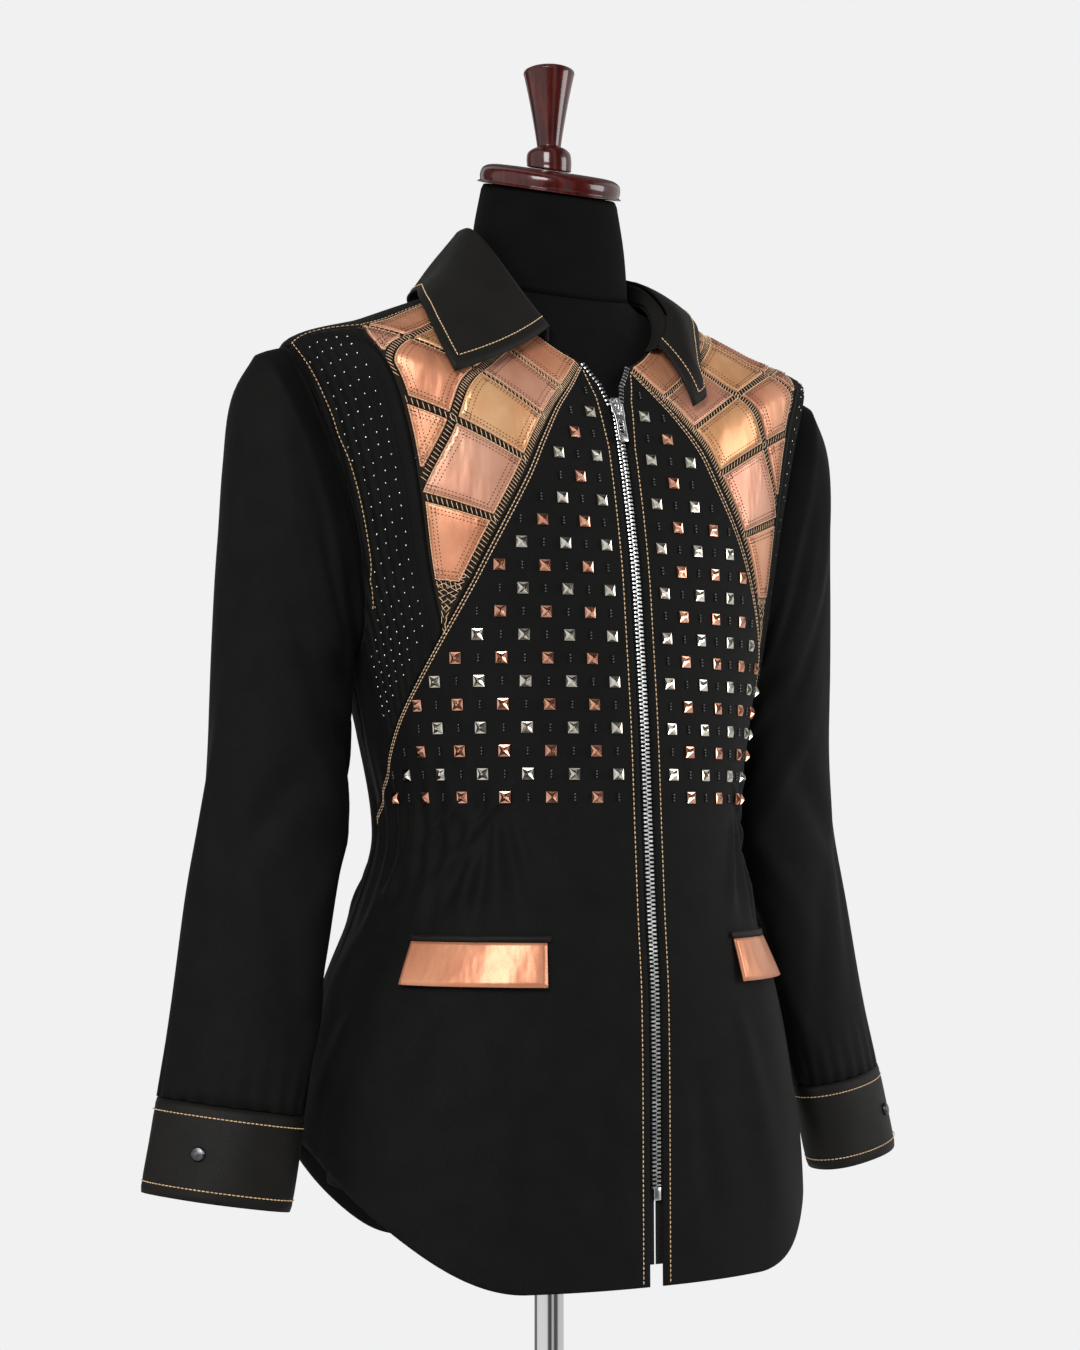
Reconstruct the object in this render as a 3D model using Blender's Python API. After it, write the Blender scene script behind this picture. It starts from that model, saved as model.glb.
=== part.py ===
"""Shirt jacket worn on a limbless dress form, with its stand.

Metres, +Z up. The front faces -Y and the wearer's left is +X. The origin is the middle of
the stand's base, on the floor.

The trunk is one smooth surface, given by an angle round the body and a level up it. Angle 0
is the centre front, +90 the wearer's left and 180 the centre back. A level is the height of a
ring of the trunk, and above the chest the rings tip up over the shoulders. Every cloth piece
of the trunk is a patch of that surface, cut out by seam lines and given a wall.
"""

import math

import bmesh
import bpy
import numpy as np
from mathutils import Matrix, Vector
from mathutils.geometry import delaunay_2d_cdt

# ---------------------------------------------------------------- driving dimensions
CLOTH = 0.0016            # wall of the jacket's cloth
LEATHER = 0.0014          # wall of a copper leather patch
CUFF_WALL = 0.0024        # a cuff is two layers of cloth
TAPE = 0.0009             # wall of the zip's tape
TAPE_UNDER = 0.0080       # how far the tape reaches under the front, from its edge
TAPE_BESIDE = 0.0047      # how far it reaches beside the front, towards the teeth
SEAM_GAP = 0.0003         # clearance between two pieces that meet
LAYER_GAP = 0.0008        # clearance between two pieces that lie on each other
TRUNK_POWER = 2.2         # how square the trunk's rings are; 2 is an ellipse
PLAN_RADIUS = 0.15        # radius that turns an angle into a length on the cutting plan

FRONT_FOLD_ANGLE = 6.5    # where the front's folded edge ends, under the stitching
FRONT_EDGE_STEPS = 26     # points along the front edge and along the zip's tape
FRONT_EDGE_X = 0.0055     # the front edge's distance from the centre front
ZIP_TOP_LEVEL = 1.455     # where the zip is open from
ZIP_STOP_LEVEL = 0.805    # where the zip ends
TAPE_LOW_LEVEL = 0.752    # where its tapes end, inside the fronts
NECK_TURN = (6.5, 1.480)  # angle and level where the open front turns out to the neck
SIDE_SEAM_ANGLE = 100.0
UNDERARM_ANGLE = 91.0
SHOULDER_SEAM_ANGLE = 77.0
NECK_LEVEL = 1.500
WAIST_LEVEL = 1.057
SHOULDER_NECK_LEVEL = 1.392   # where the shoulder seam leaves the line of the neck
COLLAR_END_ANGLE = 30.0   # where the collar starts, beside the open zip

HEM_LEVEL = 0.738
HEM_RISE = 0.097          # how far the shirt-tail hem climbs at the sides
HEM_PEAK_ANGLE = 100.0
HEM_PEAK_SPREAD = 65.0

ARMHOLE_LEVEL = 1.272     # middle of the armhole
ARMHOLE_HALF_HEIGHT = 0.086
ARMHOLE_FRONT_ANGLE = 11.5
ARMHOLE_BACK_ANGLE = 14.0
ARMHOLE_LOW_FULLNESS = 0.45
UNDERARM_LEVEL = ARMHOLE_LEVEL - ARMHOLE_HALF_HEIGHT
SLEEVE_SIDES = 24         # points round a sleeve, and round the armhole
SHOULDER_STEP = 1         # the armhole point, counted forwards, where the shoulder seam ends
YOKE_STEP = 3             # the armhole point, counted from the shoulder, where the yoke ends

GATHER_STEP = 7.0         # one gather in this many degrees
GATHER_FRONT = 39.0       # gathers run from this angle at the front ...
GATHER_BACK = 160.0       # ... to this angle at the back
GATHER_DEPTH = 0.0042
GATHER_UP = 0.075         # how far a gather reaches above the waist
GATHER_DOWN = 0.105       # and below it
GATHER_LEVEL = 1.062

STUD_SIZE = 0.0080
STUD_RISE = 0.0030
STUD_PITCH = 0.0163
STUD_FIRST_ARC = 0.0230   # the first stud's distance from the centre front
STUD_LOW_LEVEL = 1.083    # the lowest row of studs

TUCK_STEP = 2.5           # one pintuck in this many degrees
TUCK_COUNT = 9
TUCK_RISE = 0.0013
TUCK_HALF = 0.62          # half of a pintuck's foot, in degrees
TUCK_LEVELS = (1.070, 1.355, 0.028)   # lowest and highest level of a pintuck, and its step

LADDER_HALF = 0.0023      # half the width of the ladder-stitched strip between two patches
CHEST_LADDER_SHARE = 2.6  # how much wider the strip beside the chest seam is
SMALLEST_PATCH = (0.8, 5.0, 0.014)   # least width, in degrees, at its ends and middle, and height
PATCH_PROUD = 0.0004      # how far a patch stands proud of the strips

FLAP_ANGLES = (30.5, 67.0)
FLAP_LEVELS = (0.950, 0.981)
FLAP_LIFTS = (0.0045, 0.0008)   # the flap's lower edge stands away, its upper edge lies on
WELT_HEIGHT = 0.0042

FORM_BOTTOM = 0.800
POLE_RADIUS = 0.011
BASE_RADIUS = 0.200
BASE_HEIGHT = 0.016
CAP_TILT = math.radians(16.0)
CAP_CENTRE = 1.5415

# The trunk's rings. level, height at the side, at the front and at the back,
# half width, depth of the front half, depth of the back half
TRUNK_RINGS = np.array([
    (0.700, 0.700, 0.700, 0.700, 0.2050, 0.1530, 0.1560),
    (0.800, 0.800, 0.800, 0.800, 0.2014, 0.1520, 0.1540),
    (0.870, 0.870, 0.870, 0.870, 0.1930, 0.1515, 0.1510),
    (0.940, 0.940, 0.940, 0.940, 0.1744, 0.1500, 0.1430),
    (1.000, 1.000, 1.000, 1.000, 0.1520, 0.1450, 0.1200),
    (1.057, 1.057, 1.057, 1.057, 0.1380, 0.1410, 0.1000),
    (1.130, 1.130, 1.130, 1.130, 0.1500, 0.1360, 0.1050),
    (1.200, 1.200, 1.200, 1.200, 0.1680, 0.1290, 0.1160),
    (1.260, 1.285, 1.240, 1.255, 0.1850, 0.1245, 0.1180),
    (1.320, 1.362, 1.280, 1.310, 0.2035, 0.1175, 0.1150),
    (1.360, 1.407, 1.308, 1.345, 0.2155, 0.1115, 0.1090),
    (1.410, 1.430, 1.340, 1.385, 0.1600, 0.1035, 0.0990),
    (1.460, 1.449, 1.369, 1.425, 0.1120, 0.0945, 0.0820),
    (1.500, 1.463, 1.395, 1.456, 0.0720, 0.0830, 0.0620),
])

# Seam from the neck across the chest to the side seam. level, angle
CHEST_SEAM = (
    (1.057, 100.0), (1.075, 94.0), (1.096, 87.0), (1.135, 76.0), (1.167, 66.5),
    (1.200, 58.0), (1.235, 50.0), (1.280, 42.5), (1.338, 35.0), (1.424, 26.8),
    (1.479, 18.5), (1.500, 14.0),
)
# Seam between the copper patches and the pintucked panel. level, angle
TUCK_SEAM = (
    (1.200, 58.0), (1.240, 60.6), (1.280, 61.8), (1.337, 65.2), (1.365, 69.5), (1.387, 76.0),
)
# The ladder-stitched lines that cross the chest seam's direction, by level
LADDER_LEVELS = (1.227, 1.276, 1.333, 1.390, 1.448)
# The ladder-stitched lines along the chest seam. level, angle
INNER_LADDER = ((1.276, 62.5), (1.333, 54.5), (1.390, 50.7), (1.448, 46.0), (1.500, 40.0))
OUTER_LADDER = ((1.333, 67.0), (1.390, 66.5), (1.448, 64.0), (1.500, 60.0))

# Sleeve rings. middle x, y and z, lean of the ring, half length, half depth, turn
SLEEVE_RINGS = (
    (0.2020, 0.0040, 1.2870, 72.0, 0.1167, 0.0450, 0.0),
    (0.2085, 0.0080, 1.2680, 67.0, 0.1110, 0.0510, 0.0),
    (0.2100, 0.0120, 1.2400, 61.6, 0.0966, 0.0535, 0.0),
    (0.2110, 0.0160, 1.2060, 53.0, 0.0800, 0.0520, 0.0),
    (0.2120, 0.0180, 1.1650, 38.7, 0.0640, 0.0470, -4.0),
    (0.2145, 0.0160, 1.1125, 23.6, 0.0562, 0.0410, -12.0),
    (0.2235, 0.0130, 1.0550, 14.0, 0.0535, 0.0360, -20.0),
    (0.2350, 0.0080, 1.0000, 10.0, 0.0530, 0.0340, -27.0),
    (0.2480, 0.0020, 0.9300, 9.0, 0.0525, 0.0320, -30.0),
    (0.2615, -0.0040, 0.8660, 9.0, 0.0520, 0.0300, -30.0),
)
CUFF_RINGS = (
    (0.2616, -0.0041, 0.8655, 9.0, 0.0530, 0.0310, -30.0),
    (0.2684, -0.0075, 0.8320, 9.0, 0.0532, 0.0312, -30.0),
    (0.2750, -0.0105, 0.8000, 9.0, 0.0534, 0.0314, -30.0),
)
SNAP_ANGLE = 48.0         # where the snap sits round the cuff
SNAP_RADIUS = 0.0052
SNAP_HEIGHT = 0.0024

# The collar's fold, which lies lower and wider open on the wearer's left (+1) than on the
# right (-1). angle, height above the neck seam, distance out from it
FOLD = {
    -1: ((30.0, 0.011, 0.0), (50.0, 0.024, 0.0), (70.0, 0.035, 0.0), (90.0, 0.041, 0.0),
         (120.0, 0.042, 0.0), (180.0, 0.043, 0.0)),
    1: ((30.0, 0.005, 0.009), (50.0, 0.007, 0.011), (70.0, 0.010, 0.006), (90.0, 0.016, 0.002),
        (120.0, 0.030, 0.0), (180.0, 0.043, 0.0)),
}
# The collar leaf's outer edge. angle at the fold, angle and level under the edge, lift off it
LEAF_EDGE = {
    -1: ((30.0, 55.0, 1.366, 0.0045), (45.0, 62.0, 1.398, 0.0045), (62.0, 72.0, 1.432, 0.0045),
         (90.0, 91.0, 1.462, 0.0045), (120.0, 120.0, 1.467, 0.0055), (180.0, 180.0, 1.472, 0.0065)),
    1: ((30.0, 33.0, 1.413, 0.0045), (37.0, 38.5, 1.411, 0.0045), (45.0, 42.5, 1.438, 0.0045),
        (62.0, 57.0, 1.460, 0.0045),
        (90.0, 88.0, 1.466, 0.0045), (120.0, 119.0, 1.468, 0.0055), (180.0, 180.0, 1.472, 0.0065)),
}
LEAF_ROWS = 5
LEAF_BOW = 0.017          # how far the leaf's middle bows off the shoulder
STAND_LEAN = 0.06         # how far the collar stand leans in, per height

# Neck cap and finial, turned in wood. radius, height
CAP_PROFILE = (
    (0.0000, 0.0000), (0.0505, 0.0000), (0.0528, 0.0025), (0.0533, 0.0070), (0.0515, 0.0115),
    (0.0450, 0.0143), (0.0300, 0.0152), (0.0000, 0.0154),
)
FINIAL_PROFILE = (
    (0.0150, 0.0000), (0.0167, 0.0030), (0.0168, 0.0085), (0.0158, 0.0125), (0.0125, 0.0150),
    (0.0093, 0.0162), (0.0092, 0.0190), (0.0112, 0.0320), (0.0148, 0.0520), (0.0186, 0.0700),
    (0.0192, 0.0722), (0.0180, 0.0745), (0.0120, 0.0768), (0.0000, 0.0780),
)
FINIAL_WAIST = 0.0162     # where the finial's knob ends and its cone starts
BASE_PROFILE = (
    (0.0000, 0.0000), (BASE_RADIUS, 0.0000), (BASE_RADIUS, 0.0050), (0.1960, 0.0080),
    (0.0600, 0.0140), (0.0300, BASE_HEIGHT), (0.0000, BASE_HEIGHT),
)


# ---------------------------------------------------------------- the trunk's surface
def smooth_slopes(x, y):
    """Slopes of a smooth curve through the points that never overshoots them."""
    steps = np.diff(x)
    rates = np.diff(y) / steps
    slopes = np.zeros(len(x))
    for i in range(1, len(x) - 1):
        if rates[i - 1] * rates[i] > 0:
            before = 2 * steps[i] + steps[i - 1]
            after = steps[i] + 2 * steps[i - 1]
            slopes[i] = (before + after) / (before / rates[i - 1] + after / rates[i])
    slopes[0], slopes[-1] = rates[0], rates[-1]
    return slopes


def curve_value(x, y, slopes, at):
    """The smooth curve through the points x, y at one place."""
    i = min(max(int(np.searchsorted(x, at)) - 1, 0), len(x) - 2)
    h = x[i + 1] - x[i]
    t = (at - x[i]) / h
    start, end = y[i], y[i + 1]
    rise_in, rise_out = slopes[i] * h, slopes[i + 1] * h
    return ((2 * t**3 - 3 * t**2 + 1) * start + (t**3 - 2 * t**2 + t) * rise_in
            + (3 * t**2 - 2 * t**3) * end + (t**3 - t**2) * rise_out)


RING_SLOPES = [smooth_slopes(TRUNK_RINGS[:, 0], TRUNK_RINGS[:, c]) for c in range(1, 7)]


def table_curve(table, at):
    """A smooth curve through a table of (level, angle) rows."""
    rows = np.array(table, float)
    return float(curve_value(rows[:, 0], rows[:, 1], smooth_slopes(rows[:, 0], rows[:, 1]), at))


def trunk_base(angle, level):
    """Point of the trunk without its gathers."""
    side, front, back, wide, deep_front, deep_back = (
        curve_value(TRUNK_RINGS[:, 0], TRUNK_RINGS[:, c + 1], RING_SLOPES[c], level) for c in range(6)
    )
    turn = math.radians(angle)
    across, ahead = math.sin(turn), math.cos(turn)
    deep = deep_front if ahead > 0 else deep_back
    end = front if ahead > 0 else back
    radius = ((abs(across) / wide) ** TRUNK_POWER + (abs(ahead) / deep) ** TRUNK_POWER) ** (-1 / TRUNK_POWER)
    return np.array((radius * across, -radius * ahead, side + (end - side) * ahead**2))


def trunk_normal(angle, level):
    """Direction out of the trunk's surface."""
    small_angle, small_level = 0.4, 0.002
    along = trunk_base(angle + small_angle, level) - trunk_base(angle - small_angle, level)
    up = trunk_base(angle, level + small_level) - trunk_base(angle, level - small_level)
    out = np.cross(along, up)
    return out / np.linalg.norm(out)


def gather(angle, level):
    """How far the cloth dips in at the gathers of the waist."""
    turn = angle % 360.0
    turn = min(turn, 360.0 - turn)
    if not GATHER_FRONT < turn < GATHER_BACK:
        return 0.0
    fold = int((turn - GATHER_FRONT) / GATHER_STEP)
    uneven = (fold * 0.618) % 1.0
    ends = min(1.0, (turn - GATHER_FRONT) / 9.0, (GATHER_BACK - turn) / 9.0)
    if level > GATHER_LEVEL:
        fade = 1 - (level - GATHER_LEVEL) / (GATHER_UP * (0.7 + 0.3 * uneven))
    else:
        fade = 1 - (GATHER_LEVEL - level) / (GATHER_DOWN * (0.75 + 0.25 * uneven))
    if fade <= 0:
        return 0.0
    wave = 0.5 - 0.5 * math.cos(2 * math.pi * (turn - GATHER_FRONT) / GATHER_STEP)
    return -GATHER_DEPTH * (0.7 + 0.3 * uneven) * ends * fade**1.2 * wave


def trunk(angle, level, out=0.0):
    """Point of the jacket's trunk, moved out of the surface by a distance."""
    return trunk_base(angle, level) + trunk_normal(angle, level) * (gather(angle, level) + out)


def hem(angle):
    """Level of the shirt-tail hem."""
    turn = abs(angle) if abs(angle) <= 180 else 360 - abs(angle)
    away = min(abs(turn - HEM_PEAK_ANGLE) / HEM_PEAK_SPREAD, 1.0)
    return HEM_LEVEL + HEM_RISE * (0.5 + 0.5 * math.cos(math.pi * away))


def front_edge(level):
    """Angle of the front edge, beside the zip."""
    ring = trunk_base(0.0, level)
    return math.degrees(math.atan2(FRONT_EDGE_X, -ring[1]))


def side_seam(level):
    """Angle of the side seam, which leans forward up to the underarm."""
    share = min(max((level - WAIST_LEVEL) / (UNDERARM_LEVEL - WAIST_LEVEL), 0.0), 1.0)
    return SIDE_SEAM_ANGLE + (UNDERARM_ANGLE - SIDE_SEAM_ANGLE) * share


def armhole(step, inset=0.0):
    """Angle and level of the armhole's points, from the shoulder down the front and up the back."""
    turn = 2 * math.pi * step / SLEEVE_SIDES
    width = ARMHOLE_FRONT_ANGLE if math.sin(turn) > 0 else ARMHOLE_BACK_ANGLE
    fullness = width * (1 - ARMHOLE_LOW_FULLNESS * math.cos(turn))
    fullness -= math.degrees(inset / 0.18)
    return (UNDERARM_ANGLE - fullness * math.sin(turn),
            ARMHOLE_LEVEL + (ARMHOLE_HALF_HEIGHT - inset) * math.cos(turn))


# ---------------------------------------------------------------- the cutting plan
def plan(angle, level):
    """Place on the cutting plan, in metres."""
    return (math.radians(angle) * PLAN_RADIUS, level)


def unplan(place):
    """Angle and level of a place on the cutting plan."""
    return math.degrees(place[0] / PLAN_RADIUS), place[1]


def line(first, last, count):
    """Evenly spaced (angle, level) points from the first to the last, both kept."""
    return [(first[0] + (last[0] - first[0]) * i / count, first[1] + (last[1] - first[1]) * i / count)
            for i in range(count + 1)]


def along_table(table, low, high, count):
    """Points of a seam given by a table of (level, angle) rows."""
    return [(table_curve(table, low + (high - low) * i / count), low + (high - low) * i / count)
            for i in range(count + 1)]


def joined(*runs):
    """One closed outline on the plan from runs of (angle, level) points, without repeats."""
    outline = []
    for run in runs:
        for point in run:
            place = plan(*point)
            if not outline or math.dist(place, outline[-1]) > 0.0008:
                outline.append(place)
    if math.dist(outline[0], outline[-1]) < 0.0008:
        outline.pop()
    return outline


def turned_left(outline):
    """The outline, running anticlockwise."""
    area = sum(a[0] * b[1] - b[0] * a[1] for a, b in zip(outline, outline[1:] + outline[:1]))
    return outline if area > 0 else outline[::-1]


def drawn_in(outline, gap):
    """The outline moved inwards by a gap measured on the cloth."""
    outline = turned_left(outline)
    result = []
    for i, here in enumerate(outline):
        before, after = outline[i - 1], outline[(i + 1) % len(outline)]
        normals = []
        for start, end in ((before, here), (here, after)):
            length = math.dist(start, end)
            normals.append((-(end[1] - start[1]) / length, (end[0] - start[0]) / length))
        middle = (normals[0][0] + normals[1][0], normals[0][1] + normals[1][1])
        size = max(math.hypot(*middle), 0.7)
        angle, level = unplan(here)
        radius = math.hypot(*trunk_base(angle, level)[:2])
        reach = 2 * gap / size**2 * max(1.0, PLAN_RADIUS / radius)
        result.append((here[0] + middle[0] * reach, here[1] + middle[1] * reach))
    return result


def distance_to(place, outline):
    """Distance from a place to an outline on the plan."""
    start = np.array(outline)
    run = np.roll(start, -1, axis=0) - start
    share = np.clip(((place - start) * run).sum(1) / (run**2).sum(1), 0, 1)
    return float(np.sqrt(((start + run * share[:, None] - place) ** 2).sum(1)).min())


def is_inside(place, outline):
    """Whether a place lies inside an outline on the plan."""
    inside = False
    for (x0, y0), (x1, y1) in zip(outline, outline[1:] + outline[:1]):
        if (y0 > place[1]) != (y1 > place[1]):
            if place[0] < (x1 - x0) * (place[1] - y0) / (y1 - y0) + x0:
                inside = not inside
    return inside


def filling(outline, step, margin, taken=(), holes=()):
    """Places on an even grid inside an outline, clear of its edge and of places already taken."""
    low = np.min(outline, axis=0)
    high = np.max(outline, axis=0)
    places = []
    for i in range(1, int((high[0] - low[0]) / step) + 1):
        for j in range(1, int((high[1] - low[1]) / step) + 1):
            place = (low[0] + i * step, low[1] + (j - 0.5 * (i % 2)) * step)
            if not is_inside(place, outline) or distance_to(np.array(place), outline) < margin:
                continue
            if any(is_inside(place, hole) or distance_to(np.array(place), hole) < margin for hole in holes):
                continue
            if any(math.dist(place, other) < margin for other in taken):
                continue
            places.append(place)
    return places


# ---------------------------------------------------------------- meshes
def material(name, colour, roughness, metallic=0.0):
    """A plain material with the piece's colour."""
    result = bpy.data.materials.new(name)
    result.use_nodes = True
    shader = result.node_tree.nodes["Principled BSDF"]
    shader.inputs["Base Color"].default_value = (*colour, 1.0)
    shader.inputs["Roughness"].default_value = roughness
    shader.inputs["Metallic"].default_value = metallic
    return result


def add_object(name, points, faces, finish, smooth_angle=40.0):
    """A named object from points and faces, with its faces turned outwards."""
    mesh = bpy.data.meshes.new(name)
    mesh.from_pydata([tuple(map(float, p)) for p in points], [], [tuple(f) for f in faces])
    work = bmesh.new()
    work.from_mesh(mesh)
    bmesh.ops.recalc_face_normals(work, faces=work.faces)
    work.to_mesh(mesh)
    work.free()
    mesh.shade_smooth()
    mesh.set_sharp_from_angle(angle=math.radians(smooth_angle))
    mesh.materials.append(finish.copy())
    result = bpy.data.objects.new(name, mesh)
    bpy.context.scene.collection.objects.link(result)
    return result


def open_edges(triangles):
    """The edges that only one triangle uses, each in that triangle's direction."""
    used = {(a, b) for t in triangles for a, b in zip(t, t[1:] + t[:1])}
    return [(a, b) for a, b in used if (b, a) not in used]


def triangulate(outline, holes, points, creases):
    """Places and triangles that fill an outline around its holes, along the crease lines."""
    places = list(outline)
    borders = [(i, (i + 1) % len(outline)) for i in range(len(outline))]
    for hole in holes:
        first = len(places)
        places += hole
        borders += [(first + i, first + (i + 1) % len(hole)) for i in range(len(hole))]
    places += list(points)
    for crease in creases:
        first = len(places)
        places += crease
        borders += [(first + i, first + i + 1) for i in range(len(crease) - 1)]
    flat, _, faces, _, _, _ = delaunay_2d_cdt([Vector(p) for p in places], borders, [], 0, 1e-6)
    triangles = []
    for face in faces:
        middle = tuple(sum(flat[i][k] for i in face) / 3 for k in (0, 1))
        if is_inside(middle, outline) and not any(is_inside(middle, hole) for hole in holes):
            triangles.append(tuple(face))
    kept = sorted({i for triangle in triangles for i in triangle})
    number = {old: new for new, old in enumerate(kept)}
    return [tuple(flat[i]) for i in kept], [tuple(number[i] for i in t) for t in triangles]


def place_key(place):
    """A place's name, the same on both skins."""
    return round(place[0] * 1e6), round(place[1] * 1e6)


def seam_order(place):
    """A rank along a seam, the same for the pieces on both its sides and for both shoulders."""
    return place[1] + 0.37 * abs(place[0] - math.pi * PLAN_RADIUS)


def cloth_wall(name, finish, outline, inside=(), creases=(), holes=(), raised=None, side=1,
               wall=CLOTH, lift=None, outer_points=(), outer_creases=()):
    """A patch of the trunk with a wall. Its outline, points and creases lie on both skins, the
    outer points and outer creases on the outer skin alone."""
    raised = {place_key(place): rise for place, rise in (raised or {}).items()}

    def away(place):
        return lift(*unplan(place)) if lift else 0.0

    outside, skin = triangulate(outline, holes, [*inside, *outer_points], [*creases, *outer_creases])
    within, lining = triangulate(outline, holes, inside, creases)
    points = [trunk(*unplan(place), away(place) + raised.get(place_key(place), 0.0)) for place in outside]
    points += [trunk(*unplan(place), away(place) - wall) for place in within]
    under = {place_key(place): len(outside) + i for i, place in enumerate(within)}
    faces = skin + [tuple(i + len(outside) for i in t[::-1]) for t in lining]
    for a, b in open_edges(skin):
        below_a, below_b = under[place_key(outside[a])], under[place_key(outside[b])]
        if seam_order(outside[a]) < seam_order(outside[b]):
            faces += [(b, a, below_a), (b, below_a, below_b)]
        else:
            faces += [(b, a, below_b), (a, below_a, below_b)]
    points = np.array(points)
    points[:, 0] *= side
    return add_object(name, points, faces, finish)


def grid_wall(name, finish, rows, wall, closed, side=1, keep_ends=False):
    """A wall from rows of points. The outer skin is the rows, the inner skin lies a wall inside."""
    grid = np.array(rows)
    down, across = grid.shape[:2]
    if closed:
        along = np.roll(grid, -1, axis=1) - np.roll(grid, 1, axis=1)
    else:
        along = np.gradient(grid, axis=1)
    out = np.cross(along, np.gradient(grid, axis=0))
    out /= np.linalg.norm(out, axis=2)[:, :, None]
    points = np.concatenate([grid.reshape(-1, 3), (grid - out * wall).reshape(-1, 3)])
    count = down * across
    faces = []
    for i in range(down - 1):
        for j in range(across if closed else across - 1):
            k = (j + 1) % across
            a, b = i * across + j, i * across + k
            c, d = (i + 1) * across + k, (i + 1) * across + j
            faces += [(a, b, c), (a, c, d)]
    skin = list(faces)
    faces = skin + [tuple(i + count for i in f[::-1]) for f in skin]
    faces += [(b, a, a + count, b + count) for a, b in open_edges(skin)]
    points[:, 0] *= side
    return add_object(name, points, faces, finish)


def turned(name, finish, profile, sides, place=None, foot_slope=0.0, slope_height=1.0):
    """A solid turned about the vertical from (radius, height) rows. A foot slope tips its foot
    towards the back, and fades out at the slope height."""
    points, rings = [], []
    for radius, height in profile:
        if radius == 0:
            rings.append([len(points)])
            points.append((0.0, 0.0, height))
            continue
        ring = []
        for k in range(sides):
            turn = 2 * math.pi * k / sides
            y = radius * math.sin(turn)
            ring.append(len(points))
            tip = foot_slope * max(0.0, 1 - height / slope_height)
            points.append((radius * math.cos(turn), y, height + y * tip))
        rings.append(ring)
    faces = []
    if len(rings[0]) > 1:
        faces.append(rings[0][::-1])
    if len(rings[-1]) > 1:
        faces.append(rings[-1])
    for low, high in zip(rings, rings[1:]):
        for k in range(sides):
            n = (k + 1) % sides
            if len(low) == 1:
                faces.append((low[0], high[n], high[k]))
            elif len(high) == 1:
                faces.append((low[k], low[n], high[0]))
            else:
                faces.append((low[k], low[n], high[n], high[k]))
    result = add_object(name, points, faces, finish)
    if place is not None:
        result.matrix_world = place
    return result


def loft(name, finish, rings):
    """A closed solid through rings of points, capped flat at both ends."""
    sides = len(rings[0])
    points = [p for ring in rings for p in ring]
    faces = [tuple(range(sides))[::-1], tuple(range(len(points) - sides, len(points)))]
    for i in range(len(rings) - 1):
        for k in range(sides):
            n = (k + 1) % sides
            faces.append((i * sides + k, i * sides + n, (i + 1) * sides + n, (i + 1) * sides + k))
    return add_object(name, points, faces, finish)


# ---------------------------------------------------------------- fronts
def tangents(angle, level):
    """How the surface moves for a step to the side and a step up the plan."""
    step = 0.001
    x, y = plan(angle, level)
    side_step = trunk_base(*unplan((x + step, y))) - trunk_base(*unplan((x - step, y)))
    up_step = trunk_base(*unplan((x, y + step))) - trunk_base(*unplan((x, y - step)))
    return side_step / (2 * step), up_step / (2 * step)


def near(angle, level, across, up):
    """Place on the plan that lies some way across and up the cloth from a point."""
    side_step, up_step = tangents(angle, level)
    normal = trunk_normal(angle, level)
    level_way = np.cross((0.0, 0.0, 1.0), normal)
    level_way /= np.linalg.norm(level_way)
    steep_way = np.cross(normal, level_way)
    wanted = level_way * across + steep_way * up
    change = np.linalg.lstsq(np.column_stack((side_step, up_step)), wanted, rcond=None)[0]
    x, y = plan(angle, level)
    return (x + change[0], y + change[1])


def level_at(angle, height):
    """Level of the ring that passes a height at an angle."""
    low, high = TRUNK_RINGS[0, 0], NECK_LEVEL
    for _ in range(24):
        middle = (low + high) / 2
        if trunk_base(angle, middle)[2] < height:
            low = middle
        else:
            high = middle
    return (low + high) / 2


def stud_places(outline):
    """Angle, level and row of each stud: a staggered grid, even on the cloth."""
    places = []
    top = trunk_base(0.0, NECK_LEVEL)[2]
    rows = int((top - STUD_LOW_LEVEL) / STUD_PITCH)
    for row in range(rows):
        height = STUD_LOW_LEVEL + row * STUD_PITCH
        angle, arc, column = 0.0, 0.0, 0
        before = trunk_base(0.0, level_at(0.0, height))
        while angle < SIDE_SEAM_ANGLE:
            angle += 0.5
            here = trunk_base(angle, level_at(angle, height))
            arc += float(np.linalg.norm(here - before))
            before = here
            if arc >= STUD_FIRST_ARC + column * STUD_PITCH:
                column += 1
                if (row + column) % 2:
                    continue
                level = level_at(angle, height)
                place = plan(angle, level)
                if gather(angle, level) < -STUD_SIZE / 20:
                    continue
                if is_inside(place, outline) and distance_to(np.array(place), outline) > STUD_SIZE:
                    places.append((angle, level, row))
    return places


def front_outline():
    """The front's outline: up the zip, down the chest seam, down the side and along the hem."""
    edge = []
    for i in range(FRONT_EDGE_STEPS + 1):
        level = hem(0.0) + (ZIP_TOP_LEVEL - hem(0.0)) * i / FRONT_EDGE_STEPS
        edge.append((front_edge(level), level))
    opening = [NECK_TURN, (CHEST_SEAM[-1][1], NECK_LEVEL)]
    seam = along_table(CHEST_SEAM, NECK_LEVEL, CHEST_SEAM[0][0], 24)
    side = line((SIDE_SEAM_ANGLE, WAIST_LEVEL), (SIDE_SEAM_ANGLE, hem(SIDE_SEAM_ANGLE)), 8)
    start = edge[0][0]
    tail = [(SIDE_SEAM_ANGLE + (start - SIDE_SEAM_ANGLE) * i / 18) for i in range(19)]
    return joined(edge, opening, seam, side, [(angle, hem(angle)) for angle in tail])


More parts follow.
